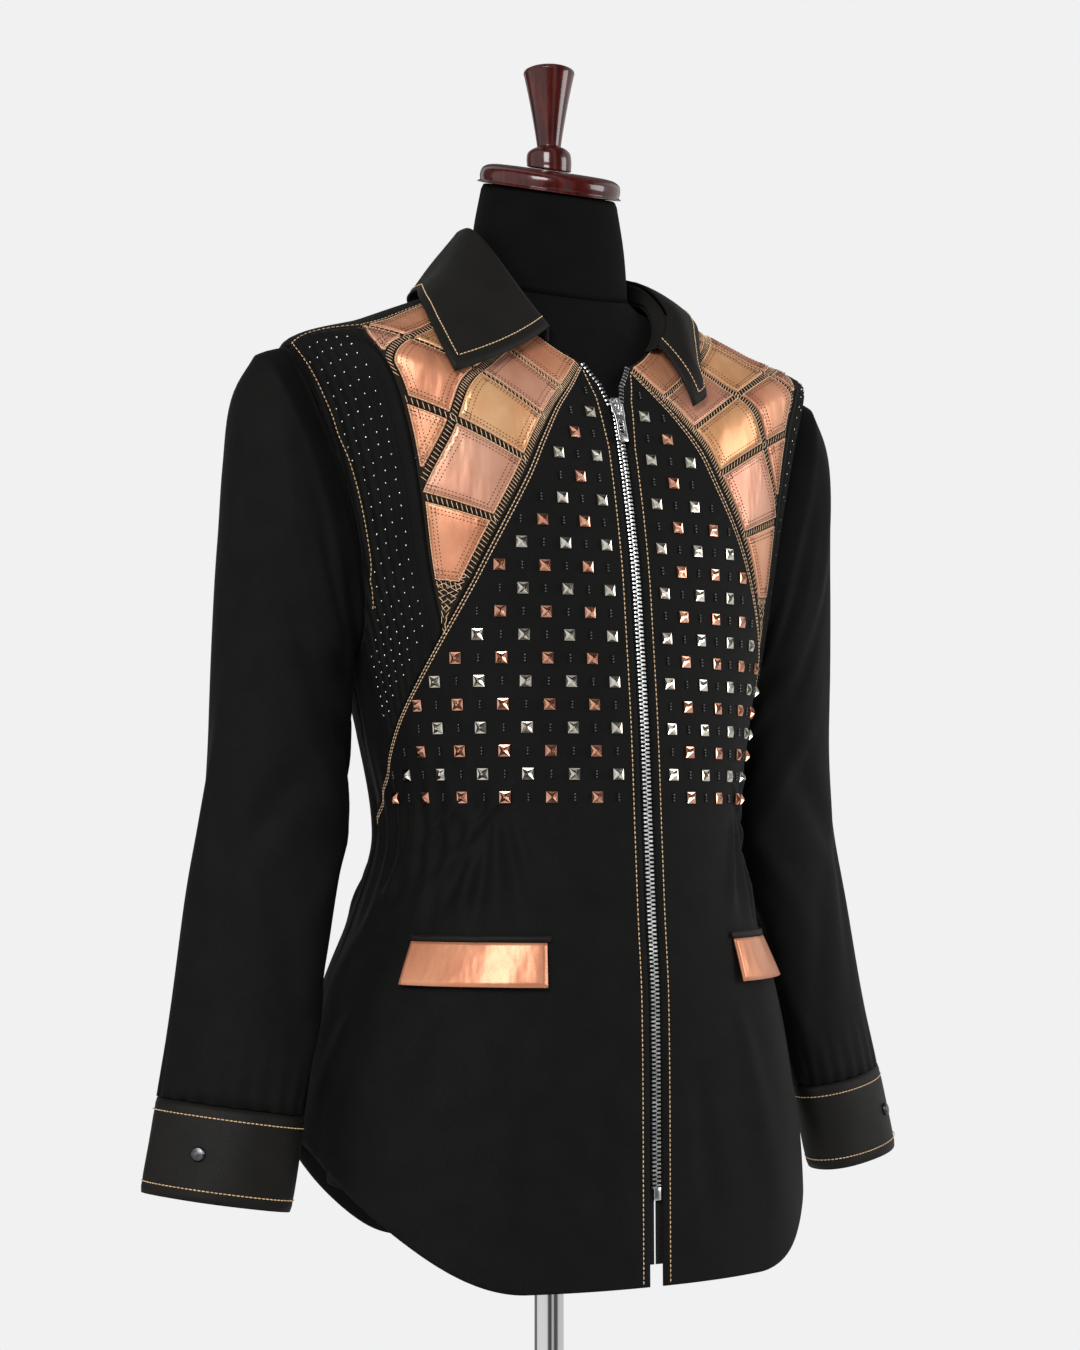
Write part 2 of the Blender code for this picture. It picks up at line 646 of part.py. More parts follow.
def gather_creases(outline, studs, first, last):
    """Lines of places along each gather's crest and valley, clear of the studs and the edge."""
    creases = []
    angle = first
    while angle <= last:
        run = []
        for level in np.arange(GATHER_LEVEL - 0.099, GATHER_LEVEL + 0.080, 0.033):
            place = plan(angle, level)
            clear = is_inside(place, outline) and distance_to(np.array(place), outline) > 0.0035
            if clear and all(math.dist(place, plan(s[0], s[1])) > STUD_SIZE for s in studs):
                run.append(place)
            else:
                if len(run) > 1:
                    creases.append(run)
                run = []
        if len(run) > 1:
            creases.append(run)
        angle += GATHER_STEP / 2
    return creases


def flap_grid():
    """Rows of (angle, level) points under a pocket flap, from its lower edge up."""
    columns, rows = 9, 2
    return [line((FLAP_ANGLES[0], FLAP_LEVELS[0] + (FLAP_LEVELS[1] - FLAP_LEVELS[0]) * r / rows),
                 (FLAP_ANGLES[1], FLAP_LEVELS[0] + (FLAP_LEVELS[1] - FLAP_LEVELS[0]) * r / rows), columns)
            for r in range(rows + 1)]


def build_front(side, name, finish):
    outline = drawn_in(front_outline(), SEAM_GAP / 2)
    studs = stud_places(outline)
    creases = gather_creases(outline, studs, GATHER_FRONT, SIDE_SEAM_ANGLE)
    inside = [plan(*point) for row in flap_grid() for point in row]
    creases.append([plan(FRONT_FOLD_ANGLE, level) for level in np.arange(0.77, 1.43, 0.055)])
    tops, feet, raised = [], [], {}
    half = STUD_SIZE / 2
    for angle, level, row in studs:
        corners = [near(angle, level, x * half, z * half) for x, z in ((-1, -1), (1, -1), (1, 1), (-1, 1))]
        feet.append(corners + corners[:1])
        (tops if row % 2 else inside).append(plan(angle, level))
        raised[plan(angle, level)] = STUD_RISE
    taken = inside + tops + [place for crease in creases + feet for place in crease]
    inside += filling(outline, 0.034, 0.018, taken)
    cloth_wall(name, finish, outline, inside, creases, raised=raised, side=side,
               outer_points=tops, outer_creases=feet)


def build_flap(side, name, finish):
    rows = flap_grid()
    outline = turned_left([plan(*p) for p in rows[0]] + [plan(*rows[1][-1])]
                          + [plan(*p) for p in rows[-1][::-1]] + [plan(*rows[1][0])])
    inside = [plan(*p) for p in rows[1][1:-1]]

    def lift(angle, level):
        share = (level - FLAP_LEVELS[0]) / (FLAP_LEVELS[1] - FLAP_LEVELS[0])
        return LEATHER + FLAP_LIFTS[0] + (FLAP_LIFTS[1] - FLAP_LIFTS[0]) * share

    cloth_wall(name, finish, outline, inside, side=side, wall=LEATHER, lift=lift)


def build_welt(side, name, finish):
    low = FLAP_LEVELS[1] + 0.0006
    bottom = line((FLAP_ANGLES[0] - 1.0, low), (FLAP_ANGLES[1] + 0.6, low), 9)
    top = [(angle, level + WELT_HEIGHT) for angle, level in bottom]
    outline = turned_left([plan(*p) for p in bottom + top[::-1]])
    cloth_wall(name, finish, outline, side=side, wall=CLOTH, lift=lambda angle, level: CLOTH + LAYER_GAP)


# ---------------------------------------------------------------- shoulder panels
def build_tucked_panel(side, name, finish):
    """The black panel with pintucks, from the shoulder seam down to the side seam."""
    tip = CHEST_SEAM[5]
    seam = along_table(CHEST_SEAM, tip[0], CHEST_SEAM[0][0], 14)
    under = [(side_seam(level), level) for level in np.linspace(WAIST_LEVEL, UNDERARM_LEVEL, 9)]
    hole = [armhole(step) for step in range(SLEEVE_SIDES // 2, SHOULDER_STEP - 1, -1)]
    shoulder = line(armhole(SHOULDER_STEP), (TUCK_SEAM[-1][1], TUCK_SEAM[-1][0]), 4)
    edge = along_table(TUCK_SEAM, TUCK_SEAM[-1][0], TUCK_SEAM[0][0], 12)
    outline = drawn_in(joined(seam, under, hole, shoulder, edge), SEAM_GAP / 2)
    shared, own, raised = [], [], {}
    for tuck in range(TUCK_COUNT):
        for shift, rise in ((-TUCK_HALF, 0.0), (0.0, TUCK_RISE), (TUCK_HALF, 0.0)):
            creases = shared if tuck % 2 == 0 and shift < 0 else own
            run = []
            for level in np.arange(*TUCK_LEVELS):
                start = table_curve(TUCK_SEAM, max(level, TUCK_SEAM[0][0]))
                place = plan(start + (tuck + 1.0) * TUCK_STEP + shift, float(level))
                if is_inside(place, outline) and distance_to(np.array(place), outline) > 0.0022:
                    run.append(place)
                    raised[place] = rise
                else:
                    if len(run) > 1:
                        creases.append(run)
                    run = []
            if len(run) > 1:
                creases.append(run)
    taken = [place for crease in shared + own for place in crease]
    inside = filling(outline, 0.024, 0.011, taken)
    cloth_wall(name, finish, outline, inside, shared, raised=raised, side=side, outer_creases=own)


def patch_cells():
    """Each copper patch, as its row, its column, and the two angle curves that bound it."""
    def chest(level):
        return table_curve(CHEST_SEAM, level)

    def tuck(level):
        if level > TUCK_SEAM[-1][0]:
            return SHOULDER_SEAM_ANGLE
        return table_curve(TUCK_SEAM, level)

    def inner(level):
        return table_curve(INNER_LADDER, max(level, INNER_LADDER[0][0]))

    def outer(level):
        return min(table_curve(OUTER_LADDER, max(level, OUTER_LADDER[0][0])), tuck(level) - 0.8)

    levels = (TUCK_SEAM[0][0] + 0.012,) + LADDER_LEVELS + (NECK_LEVEL,)
    cells = []
    for row, (low, high) in enumerate(zip(levels, levels[1:])):
        if row < 2:
            bounds = (chest, tuck)
        elif row < 3:
            bounds = (chest, inner, tuck)
        else:
            bounds = (chest, inner, outer, tuck)
        for column, (left, right) in enumerate(zip(bounds, bounds[1:])):
            cells.append((row, column, low, high, left, right, left is chest, right is tuck))
    return cells


def cell_outline(low, high, left, right, first_column, last_column, top_row):
    """Outline of one patch, inside the ladder-stitched strips or the panel's own seam. Nothing
    where the patch would be too small to cut."""
    narrow = math.degrees(LADDER_HALF / 0.16)
    left_in = narrow * (CHEST_LADDER_SHARE if first_column else 1.0)
    right_in = narrow * (0.9 if last_column else 1.0)
    bottom, top = low + LADDER_HALF, high - (0.0022 if top_row else LADDER_HALF)

    def width(level):
        return right(level) - right_in - left(level) - left_in

    end_width, full_width, least_height = SMALLEST_PATCH
    wide = [level for level in np.linspace(bottom, top, 25) if width(level) > end_width]
    if not wide or wide[-1] - wide[0] < least_height or max(map(width, wide)) < full_width:
        return None
    bottom, top = wide[0], wide[-1]
    steps = 3
    up_right = [(right(level) - right_in, level) for level in np.linspace(bottom, top, steps + 1)]
    down_left = [(left(level) + left_in, level) for level in np.linspace(top, bottom, steps + 1)]
    across_low = line(down_left[-1], up_right[0], steps)[1:-1]
    across_high = line(up_right[-1], down_left[0], steps)[1:-1]
    return turned_left(joined(across_low, up_right, across_high, down_left))


def lattice_patches():
    """Row, column and outline of each copper patch that is wide enough to cut."""
    patches = []
    last_row = len(LADDER_LEVELS)
    for row, column, low, high, left, right, first_column, last_column in patch_cells():
        outline = cell_outline(low, high, left, right, first_column, last_column, row == last_row)
        if outline:
            patches.append((row, column, outline))
    return patches


def build_lattice(side, word, strips, leathers):
    """The net of ladder-stitched strips, and the copper patches that it joins."""
    tip = TUCK_SEAM[0]
    seam = along_table(CHEST_SEAM, NECK_LEVEL, tip[0], 18)
    edge = along_table(TUCK_SEAM, tip[0], TUCK_SEAM[-1][0], 12)
    shoulder = [(SHOULDER_SEAM_ANGLE, level) for level in np.linspace(SHOULDER_NECK_LEVEL, NECK_LEVEL, 6)]
    neck = [(angle, NECK_LEVEL) for angle in np.linspace(SHOULDER_SEAM_ANGLE, CHEST_SEAM[-1][1], 14)]
    outline = drawn_in(joined(seam, edge, shoulder, neck), SEAM_GAP / 2)
    patches = lattice_patches()
    holes = [patch[2] for patch in patches]
    cloth_wall("lattice_" + word, strips, outline, holes=holes, side=side)
    for row, column, hole in patches:
        shape = drawn_in(hole, SEAM_GAP)
        inside = filling(shape, 0.020, 0.007)
        name = f"patch_{word}_{row}_{column}"
        finish = leathers[(row + column) % len(leathers)]
        cloth_wall(name, finish, shape, inside, side=side, wall=LEATHER + PATCH_PROUD,
                   lift=lambda a, v: PATCH_PROUD)


def build_yoke(finish):
    """Over the shoulders, from the front shoulder seams to a seam across the back."""
    end = armhole(-YOKE_STEP)
    across = line(end, (360 - end[0], end[1]), 18)
    left_hole = [armhole(step) for step in range(SHOULDER_STEP, -YOKE_STEP - 1, -1)]
    right_hole = [(360 - angle, level) for angle, level in left_hole[::-1]]
    seam = line(armhole(SHOULDER_STEP), (TUCK_SEAM[-1][1], TUCK_SEAM[-1][0]), 4)
    seam += [(SHOULDER_SEAM_ANGLE, level) for level in np.linspace(SHOULDER_NECK_LEVEL, NECK_LEVEL, 6)]
    other = [(360 - angle, level) for angle, level in seam]
    neck = [(angle, NECK_LEVEL) for angle in np.linspace(SHOULDER_SEAM_ANGLE, 360 - SHOULDER_SEAM_ANGLE, 20)]
    outline = drawn_in(joined(left_hole, across, right_hole, other, neck[::-1], seam[::-1]), SEAM_GAP / 2)
    cloth_wall("yoke", finish, outline, filling(outline, 0.023, 0.011))


def build_back(finish):
    """The back, from the yoke down to the hem, gathered at both sides of the waist."""
    end = armhole(-YOKE_STEP)
    half_way = SLEEVE_SIDES // 2
    hole = [armhole(step) for step in range(-half_way, -YOKE_STEP + 1)]
    under = [(side_seam(level), level) for level in np.linspace(UNDERARM_LEVEL, WAIST_LEVEL, 9)]
    side = under + line((SIDE_SEAM_ANGLE, WAIST_LEVEL), (SIDE_SEAM_ANGLE, hem(SIDE_SEAM_ANGLE)), 8)
    left = hole[::-1] + side
    right = [(360 - angle, level) for angle, level in left[::-1]]
    tail = [(angle, hem(angle)) for angle in np.linspace(SIDE_SEAM_ANGLE, 360 - SIDE_SEAM_ANGLE, 28)]
    across = line((360 - end[0], end[1]), end, 18)
    outline = drawn_in(joined(left, tail, right, across), SEAM_GAP / 2)
    creases = gather_creases(outline, (), SIDE_SEAM_ANGLE + 2, GATHER_BACK)
    creases += gather_creases(outline, (), 360 - GATHER_BACK, 358 - SIDE_SEAM_ANGLE)
    taken = [place for crease in creases for place in crease]
    cloth_wall("back", finish, outline, filling(outline, 0.036, 0.020, taken), creases)


# ---------------------------------------------------------------- sleeves
def ring_points(row):
    """Points of a sleeve ring, from its top or outer end round by the front."""
    x, y, z, lean, length, depth, turn = row
    lean, turn = math.radians(lean), math.radians(turn)
    outward = np.array((math.cos(lean), 0.0, math.sin(lean)))
    forward = np.array((0.0, -1.0, 0.0))
    points = []
    for step in range(SLEEVE_SIDES):
        angle = 2 * math.pi * step / SLEEVE_SIDES - turn
        long = length * math.cos(angle)
        short = depth * math.sin(angle)
        first = long * math.cos(turn) - short * math.sin(turn)
        second = long * math.sin(turn) + short * math.cos(turn)
        points.append(np.array((x, y, z)) + outward * first + forward * second)
    return points


def build_sleeve(side, name, finish):
    start = [trunk(*armhole(step, inset=SEAM_GAP * 1.6)) for step in range(SLEEVE_SIDES)]
    rows = [start] + [ring_points(row) for row in SLEEVE_RINGS]
    grid_wall(name, finish, rows, CLOTH, closed=True, side=side)


def build_cuff(side, name, finish):
    rows = [ring_points(row) for row in CUFF_RINGS]
    grid_wall(name, finish, rows, CUFF_WALL, closed=True, side=side)


def build_snap(side, name, finish):
    """A domed snap on the outer face of the cuff."""
    ring = ring_points(CUFF_RINGS[1])
    index = round(SLEEVE_SIDES * SNAP_ANGLE / 360)
    along = ring[(index + 1) % SLEEVE_SIDES] - ring[index - 1]
    down = np.array(CUFF_RINGS[2][:3]) - np.array(CUFF_RINGS[0][:3])
    out = np.cross(down, along)
    out /= np.linalg.norm(out)
    if np.dot(out, ring[index] - np.array(CUFF_RINGS[1][:3])) < 0:
        out = -out
    place = (ring[index] + out * SEAM_GAP) * (side, 1, 1)
    way = Vector(out * (side, 1, 1)).to_track_quat("Z", "Y").to_matrix().to_4x4()
    profile = ((SNAP_RADIUS, 0.0), (SNAP_RADIUS, SNAP_HEIGHT / 2), (SNAP_RADIUS * 0.82, SNAP_HEIGHT),
               (0.0, SNAP_HEIGHT))
    turned(name, finish, profile, 12, Matrix.Translation(Vector(place)) @ way)


# ---------------------------------------------------------------- collar
def neck_point(angle, height, out=0.0):
    """Point above the neck seam."""
    foot = trunk_base(angle, NECK_LEVEL)
    flat = np.array((foot[0], foot[1], 0.0))
    flat /= np.linalg.norm(flat)
    return foot + np.array((0.0, 0.0, height)) + flat * (out - STAND_LEAN * height)


def collar_values(tables, angle):
    """The columns of a collar table at an angle, from the table of that side."""
    rows = np.array(tables[1 if angle < 180 else -1])
    turn = min(angle, 360 - angle)
    return [float(curve_value(rows[:, 0], rows[:, c], smooth_slopes(rows[:, 0], rows[:, c]), turn))
            for c in range(1, rows.shape[1])]


COLLAR_ANGLES = list(np.linspace(COLLAR_END_ANGLE, 360 - COLLAR_END_ANGLE, 37))


def build_collar_stand(finish):
    rows = []
    for share in (1.0, 0.0):
        row = []
        for angle in COLLAR_ANGLES:
            height, out = collar_values(FOLD, angle)
            foot = SEAM_GAP * 2 + CLOTH * out / math.hypot(out, height)
            row.append(neck_point(angle, foot + (height - SEAM_GAP * 2 - foot) * share, out * share))
        rows.append(row)
    grid_wall("collar_stand", finish, rows, CLOTH, closed=False)


def leaf_point(angle, share):
    """Point of the collar leaf, from the fold (0) to its outer edge (1)."""
    turn = min(angle, 360 - angle)
    height, out = collar_values(FOLD, angle)
    edge_angle, edge_level, lift = collar_values(LEAF_EDGE, angle)
    start = neck_point(turn, height + CLOTH * 0.6, out + CLOTH * 0.8)
    end = trunk_base(edge_angle, edge_level) + trunk_normal(edge_angle, edge_level) * (lift + CLOTH)
    middle_angle, middle_level = (turn + edge_angle) / 2, (NECK_LEVEL + edge_level) / 2
    middle = trunk_base(middle_angle, middle_level) + trunk_normal(middle_angle, middle_level) * LEAF_BOW
    point = start * (1 - share) ** 2 + middle * (2 * share * (1 - share)) + end * share**2
    point[0] *= 1 if angle < 180 else -1
    return point


def build_collar_leaf(finish):
    rows = [[leaf_point(a, row / (LEAF_ROWS - 1)) for a in COLLAR_ANGLES] for row in range(LEAF_ROWS)]
    grid_wall("collar_leaf", finish, rows, CLOTH, closed=False)


# ---------------------------------------------------------------- zip
def tape_line(shift):
    """Places along the front edge and round the open neck, moved across the plan."""
    places = []
    for i in range(FRONT_EDGE_STEPS + 1):
        level = hem(0.0) + (ZIP_TOP_LEVEL - hem(0.0)) * i / FRONT_EDGE_STEPS
        if level > TAPE_LOW_LEVEL:
            places.append(plan(front_edge(level), level))
    places += [plan(*NECK_TURN), plan(CHEST_SEAM[-1][1], NECK_LEVEL), plan(21.5, NECK_LEVEL),
               plan(COLLAR_END_ANGLE - 1.5, NECK_LEVEL)]
    moved = []
    for i, place in enumerate(places):
        before = places[max(i - 1, 0)]
        after = places[min(i + 1, len(places) - 1)]
        length = math.dist(before, after)
        across = ((after[1] - before[1]) / length, -(after[0] - before[0]) / length)
        radius = abs(trunk_base(*unplan(place))[1]) / PLAN_RADIUS
        moved.append((place[0] + across[0] * shift / radius, place[1] + across[1] * shift))
    return moved


def build_tape(side, name, finish):
    outline = turned_left(tape_line(TAPE_UNDER) + tape_line(-TAPE_BESIDE)[::-1])
    cloth_wall(name, finish, outline, side=side, wall=TAPE, lift=lambda a, v: -CLOTH - LAYER_GAP)


def zip_frame():
    """Where the slider sits: its middle, its way down the zip, and its way out of the cloth."""
    middle = trunk_base(0.0, ZIP_TOP_LEVEL)
    below = trunk_base(0.0, ZIP_TOP_LEVEL - 0.02)
    down = (below - middle) / np.linalg.norm(below - middle)
    out = np.cross((1.0, 0.0, 0.0), -down)
    if out[1] > 0:
        out = -out
    return middle, down, out


def zip_matrix():
    """Frame of the zip's hard pieces: x across, y down the zip, z out of the cloth."""
    middle, down, out = zip_frame()
    across = np.cross(down, out)
    return Matrix((
        (across[0], down[0], out[0], middle[0]),
        (across[1], down[1], out[1], middle[1]),
        (across[2], down[2], out[2], middle[2]),
        (0, 0, 0, 1),
    ))


def box_points(low, high):
    """Corners of a box."""
    return [(x, y, z) for x in (low[0], high[0]) for y in (low[1], high[1]) for z in (low[2], high[2])]


BOX_FACES = [(0, 1, 3, 2), (4, 6, 7, 5), (0, 4, 5, 1), (2, 3, 7, 6), (0, 2, 6, 4), (1, 5, 7, 3)]

SLIDER_TOP = 0.0018       # height of the slider's plate above the cloth
BRIDGE_HEIGHT = 0.0032    # height of the gap under the slider's bridge
BRIDGE_WALL = 0.0010
PIVOT_OUT = SLIDER_TOP + BRIDGE_HEIGHT / 2
BAR_HALF = 0.0012         # half the thickness of the pull tab's bar


def cutter(name, low, high):
    """A box that cuts another object and isn't part of the model."""
    result = add_object(name, box_points(low, high), BOX_FACES, material(name, (1, 0, 0), 0.5))
    result.hide_render = True
    result.display_type = "WIRE"
    return result


def cut(target, tool):
    """Takes one object out of another."""
    modifier = target.modifiers.new("cut_" + tool.name, "BOOLEAN")
    modifier.operation = "DIFFERENCE"
    modifier.solver = "EXACT"
    modifier.object = tool


def prism(outline, low, high):
    """Points and faces of an outline in x and y, drawn from one height to another."""
    count = len(outline)
    points = [(x, y, low) for x, y in outline] + [(x, y, high) for x, y in outline]
    faces = [tuple(range(count))[::-1], tuple(range(count, 2 * count))]
    faces += [(i, (i + 1) % count, (i + 1) % count + count, i + count) for i in range(count)]
    return points, faces


def block_mesh(cuts, filled):
    """Points and faces round the filled cells of a grid. The cuts are its x, y and z values."""
    steps = ((1, 0, 0), (-1, 0, 0), (0, 1, 0), (0, -1, 0), (0, 0, 1), (0, 0, -1))
    points, number, faces = [], {}, []
    for cell in sorted(filled):
        for step in steps:
            if tuple(cell[k] + step[k] for k in range(3)) in filled:
                continue
            axis = [k for k in range(3) if step[k]][0]
            others = [k for k in range(3) if k != axis]
            face = []
            for one, two in ((0, 0), (1, 0), (1, 1), (0, 1)):
                corner = list(cell)
                corner[axis] += step[axis] > 0
                corner[others[0]] += one
                corner[others[1]] += two
                key = tuple(corner)
                if key not in number:
                    number[key] = len(points)
                    points.append([cuts[k][key[k]] for k in range(3)])
                face.append(number[key])
            faces.append(face)
    return points, faces


def build_slider(finish):
    """The slider, a shield-shaped plate with a bridge that holds the pull tab."""
    gap_top = SLIDER_TOP + BRIDGE_HEIGHT
    across = (-0.0043, -0.0012, 0.0012, 0.0043)
    along = (-0.0066, -0.0052, -0.0041, 0.0041, 0.0052, 0.0068)
    up = (-0.0017, SLIDER_TOP, gap_top, gap_top + BRIDGE_WALL)
    filled = {(i, j, 0) for i in range(3) for j in range(5)}
    filled |= {(1, 1, 1), (1, 3, 1)} | {(1, j, 2) for j in (1, 2, 3)}
    points, faces = block_mesh((across, along, up), filled)
    for point in points:
        if abs(point[0]) > 0.004 and point[1] in (along[0], along[-1]):
            point[0] *= 0.62
        if point[2] == up[-1] and point[1] in (along[1], along[4]):
            point[1] *= 0.80
    slider = add_object("zip_slider", points, faces, finish)
    slider.matrix_world = zip_matrix()


def build_pull_tab(finish):
    """The pull tab, hung by its bar under the slider's bridge. Its origin is on the bar."""
    half, length, thin = 0.0045, 0.0290, 0.0008
    outline = [(-half, -BAR_HALF), (half, -BAR_HALF), (half, 0.0090), (half * 0.86, 0.0110),
               (half * 0.86, length - 0.0012), (half * 0.70, length), (-half * 0.70, length),
               (-half * 0.86, length - 0.0012), (-half * 0.86, 0.0110), (-half, 0.0090)]
    points, faces = prism(outline, -thin, thin)
    tab = add_object("zip_pull_tab", points, faces, finish)
    eye = cutter("tab_eye_tool", (-0.0026, BAR_HALF, -0.002), (0.0026, 0.0082, 0.002))
    slot = cutter("tab_slot_tool", (-0.0019, 0.0125, -0.002), (0.0019, 0.0235, 0.002))
    cut(tab, eye)
    cut(tab, slot)
    place = zip_matrix() @ Matrix.Translation((0.0, 0.0, PIVOT_OUT))
    for piece in (tab, eye, slot):
        piece.matrix_world = place


def build_zip_stop(finish):
    """The metal stop at the foot of the zip."""
    middle = trunk_base(0.0, ZIP_STOP_LEVEL)
    low = (-0.0028, middle[1] - 0.0014, ZIP_STOP_LEVEL - 0.0060)
    high = (0.0028, middle[1] + CLOTH + 0.0002, ZIP_STOP_LEVEL + 0.0030)
    add_object("zip_stop", box_points(low, high), BOX_FACES, finish)


# ---------------------------------------------------------------- form and stand
FORM_SIDES = 28
# How far the form lies inside the jacket. level, inset
FORM_INSETS = ((0.800, 0.030), (0.900, 0.022), (0.990, 0.010), (1.057, 0.0075), (1.130, 0.008),
               (1.220, 0.0080), (1.300, 0.0085), (1.370, 0.0080), (1.430, 0.0060), (1.500, 0.0056))
# Neck rings. height on the axis, slope towards the back, half width, front depth, back depth
NECK_BASE = (1.4670, 0.287, 0.0590, 0.0600, 0.0600)
NECK_MIDDLE = (1.5030, 0.250, 0.0575, 0.0535, 0.0578)
NECK_TOP = (CAP_CENTRE, math.tan(CAP_TILT), 0.0505, 0.0505, 0.0505)


def oval_ring(height, slope, wide, deep_front, deep_back, lift=0.0):
    """A flat ring of points that slopes up towards the back."""
    points = []
    for k in range(FORM_SIDES):
        turn = 2 * math.pi * k / FORM_SIDES
        across, ahead = math.sin(turn), math.cos(turn)
        deep = deep_front if ahead > 0 else deep_back
        radius = ((abs(across) / wide) ** 2 + (abs(ahead) / deep) ** 2) ** -0.5
        points.append((radius * across, -radius * ahead, height + lift - slope * radius * ahead))
    return points


def build_form(finish):
    """The form's trunk, inside the jacket, and its neck."""
    levels = [0.800, 0.880, 0.960, 1.010, 1.057, 1.120, 1.190, 1.260, 1.310, 1.342, 1.362, 1.384,
              1.410, 1.440, 1.470, 1.500]
    rings = []
    for level in levels:
        inset = table_curve(FORM_INSETS, level)
        ring = []
        for k in range(FORM_SIDES):
            angle = 360 * k / FORM_SIDES
            ring.append(trunk_base(angle, level) - trunk_normal(angle, level) * inset)
        rings.append(ring)
    for point in rings[0]:
        point[2] = FORM_BOTTOM
    rings.append(oval_ring(*NECK_BASE))
    loft("form_trunk", finish, rings)
    neck = [oval_ring(*NECK_BASE, lift=SEAM_GAP), oval_ring(*NECK_MIDDLE), oval_ring(*NECK_TOP)]
    loft("form_neck", finish, neck)


def build_stand(wood, metal):
    tilt = Matrix.Rotation(CAP_TILT, 4, "X")
    cap_place = Matrix.Translation((0.0, 0.0, CAP_CENTRE + SEAM_GAP)) @ tilt
    turned("neck_cap", wood, CAP_PROFILE, FORM_SIDES, cap_place)
    top = CAP_CENTRE + SEAM_GAP * 2 + CAP_PROFILE[-1][1] / math.cos(CAP_TILT)
    turned("finial", wood, FINIAL_PROFILE, 20, Matrix.Translation((0.0, 0.0, top)),
           foot_slope=math.tan(CAP_TILT), slope_height=FINIAL_WAIST)
    pole_foot, pole_top = BASE_HEIGHT + SEAM_GAP, FORM_BOTTOM - SEAM_GAP
    turned("pole", metal, ((POLE_RADIUS, pole_foot), (POLE_RADIUS, pole_top)), 24)
    turned("stand_base", metal, BASE_PROFILE, 32)


# ---------------------------------------------------------------- the model
def main():
    for existing in list(bpy.data.objects):
        bpy.data.objects.remove(existing)
    black = material("black_cloth", (0.010, 0.010, 0.011), 0.62)
    strips = material("ladder_strip", (0.020, 0.014, 0.010), 0.60)
    copper = material("copper_leather", (0.72, 0.30, 0.17), 0.32, 0.35)
    rose = material("rose_leather", (0.74, 0.37, 0.26), 0.34, 0.30)
    nickel = material("nickel", (0.70, 0.70, 0.69), 0.22, 1.0)
    gunmetal = material("gunmetal", (0.10, 0.10, 0.11), 0.30, 1.0)
    jersey = material("form_cloth", (0.007, 0.007, 0.008), 0.85)
    wood = material("mahogany", (0.09, 0.012, 0.006), 0.12)
    steel = material("chrome", (0.75, 0.75, 0.75), 0.10, 1.0)

    for side, word in ((-1, "right"), (1, "left")):
        build_front(side, "front_" + word, black)
        build_tucked_panel(side, "tucked_panel_" + word, black)
        build_lattice(side, word, strips, (copper, rose))
        build_sleeve(side, "sleeve_" + word, black)
        build_cuff(side, "cuff_" + word, black)
        build_snap(side, "cuff_snap_" + word, gunmetal)
        build_tape(side, "zip_tape_" + word, black)
        build_flap(side, "pocket_flap_" + word, copper)
        build_welt(side, "pocket_welt_" + word, black)
    build_yoke(black)
    build_back(black)
    build_collar_stand(black)
    build_collar_leaf(black)
    build_slider(nickel)
    build_pull_tab(nickel)
    build_zip_stop(nickel)
    build_form(jersey)
    build_stand(wood, steel)


main()
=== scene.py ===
"""Looks of the shirt jacket on its dress form: fine cloth, leather, thread, beads, metal, wood,
light and the camera of the photograph. Metres, +Z up, the garment's front faces -Y.

The trunk's surface, its seams and its tables are those of the model, so each fine piece
lies where the solid that it replaces lies."""

import math

import bmesh
import bpy
import numpy as np
from mathutils import Matrix, Vector
from mathutils.geometry import delaunay_2d_cdt


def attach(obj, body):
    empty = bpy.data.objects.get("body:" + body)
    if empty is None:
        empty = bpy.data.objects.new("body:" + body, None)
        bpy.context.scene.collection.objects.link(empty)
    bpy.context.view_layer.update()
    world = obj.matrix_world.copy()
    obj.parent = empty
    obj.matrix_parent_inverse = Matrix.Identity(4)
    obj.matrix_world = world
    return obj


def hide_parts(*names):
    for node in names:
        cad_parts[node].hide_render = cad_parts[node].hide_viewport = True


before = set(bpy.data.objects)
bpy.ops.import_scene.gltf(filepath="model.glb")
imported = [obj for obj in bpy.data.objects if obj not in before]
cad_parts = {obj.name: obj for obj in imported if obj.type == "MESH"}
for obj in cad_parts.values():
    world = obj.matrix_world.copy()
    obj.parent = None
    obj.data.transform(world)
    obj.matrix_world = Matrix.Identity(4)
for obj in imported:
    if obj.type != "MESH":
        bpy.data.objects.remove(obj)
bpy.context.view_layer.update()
GARMENT = "garment_on_form"
TAB = "pull_tab"

# ---------------------------------------------------------------- sizes
CLOTH = 0.0016
LEATHER = 0.0014
CUFF_WALL = 0.0024
TAPE = 0.0009
SEAM_GAP = 0.0003
TRUNK_POWER = 2.2
PLAN_RADIUS = 0.15          # the cutting plan is the trunk unrolled at this radius
LADDER_RADIUS = 0.16        # the trunk's radius at the ladder strips
SAME_PLACE = 0.0006         # outline points nearer than this are one point
# A sheet's area has to be at least 0.3 of its width times its length. Where a sheet's area would be
# less than 0.3 of its width times its length, panel narrows the width that it works out to this
# share, and that width isn't the cut's own: the ladder net, the tapes.
LEAST_SHARE = 0.31

FRONT_EDGE_X = 0.0055
ZIP_TOP_LEVEL = 1.455
TAPE_LOW_LEVEL = 0.7535
SIDE_SEAM_ANGLE = 100.0
UNDERARM_ANGLE = 91.0
SHOULDER_SEAM_ANGLE = 77.0
NECK_LEVEL = 1.500
WAIST_LEVEL = 1.057
COLLAR_END_ANGLE = 30.0

HEM_LEVEL = 0.738
HEM_RISE = 0.097
HEM_PEAK_ANGLE = 100.0
HEM_PEAK_SPREAD = 65.0

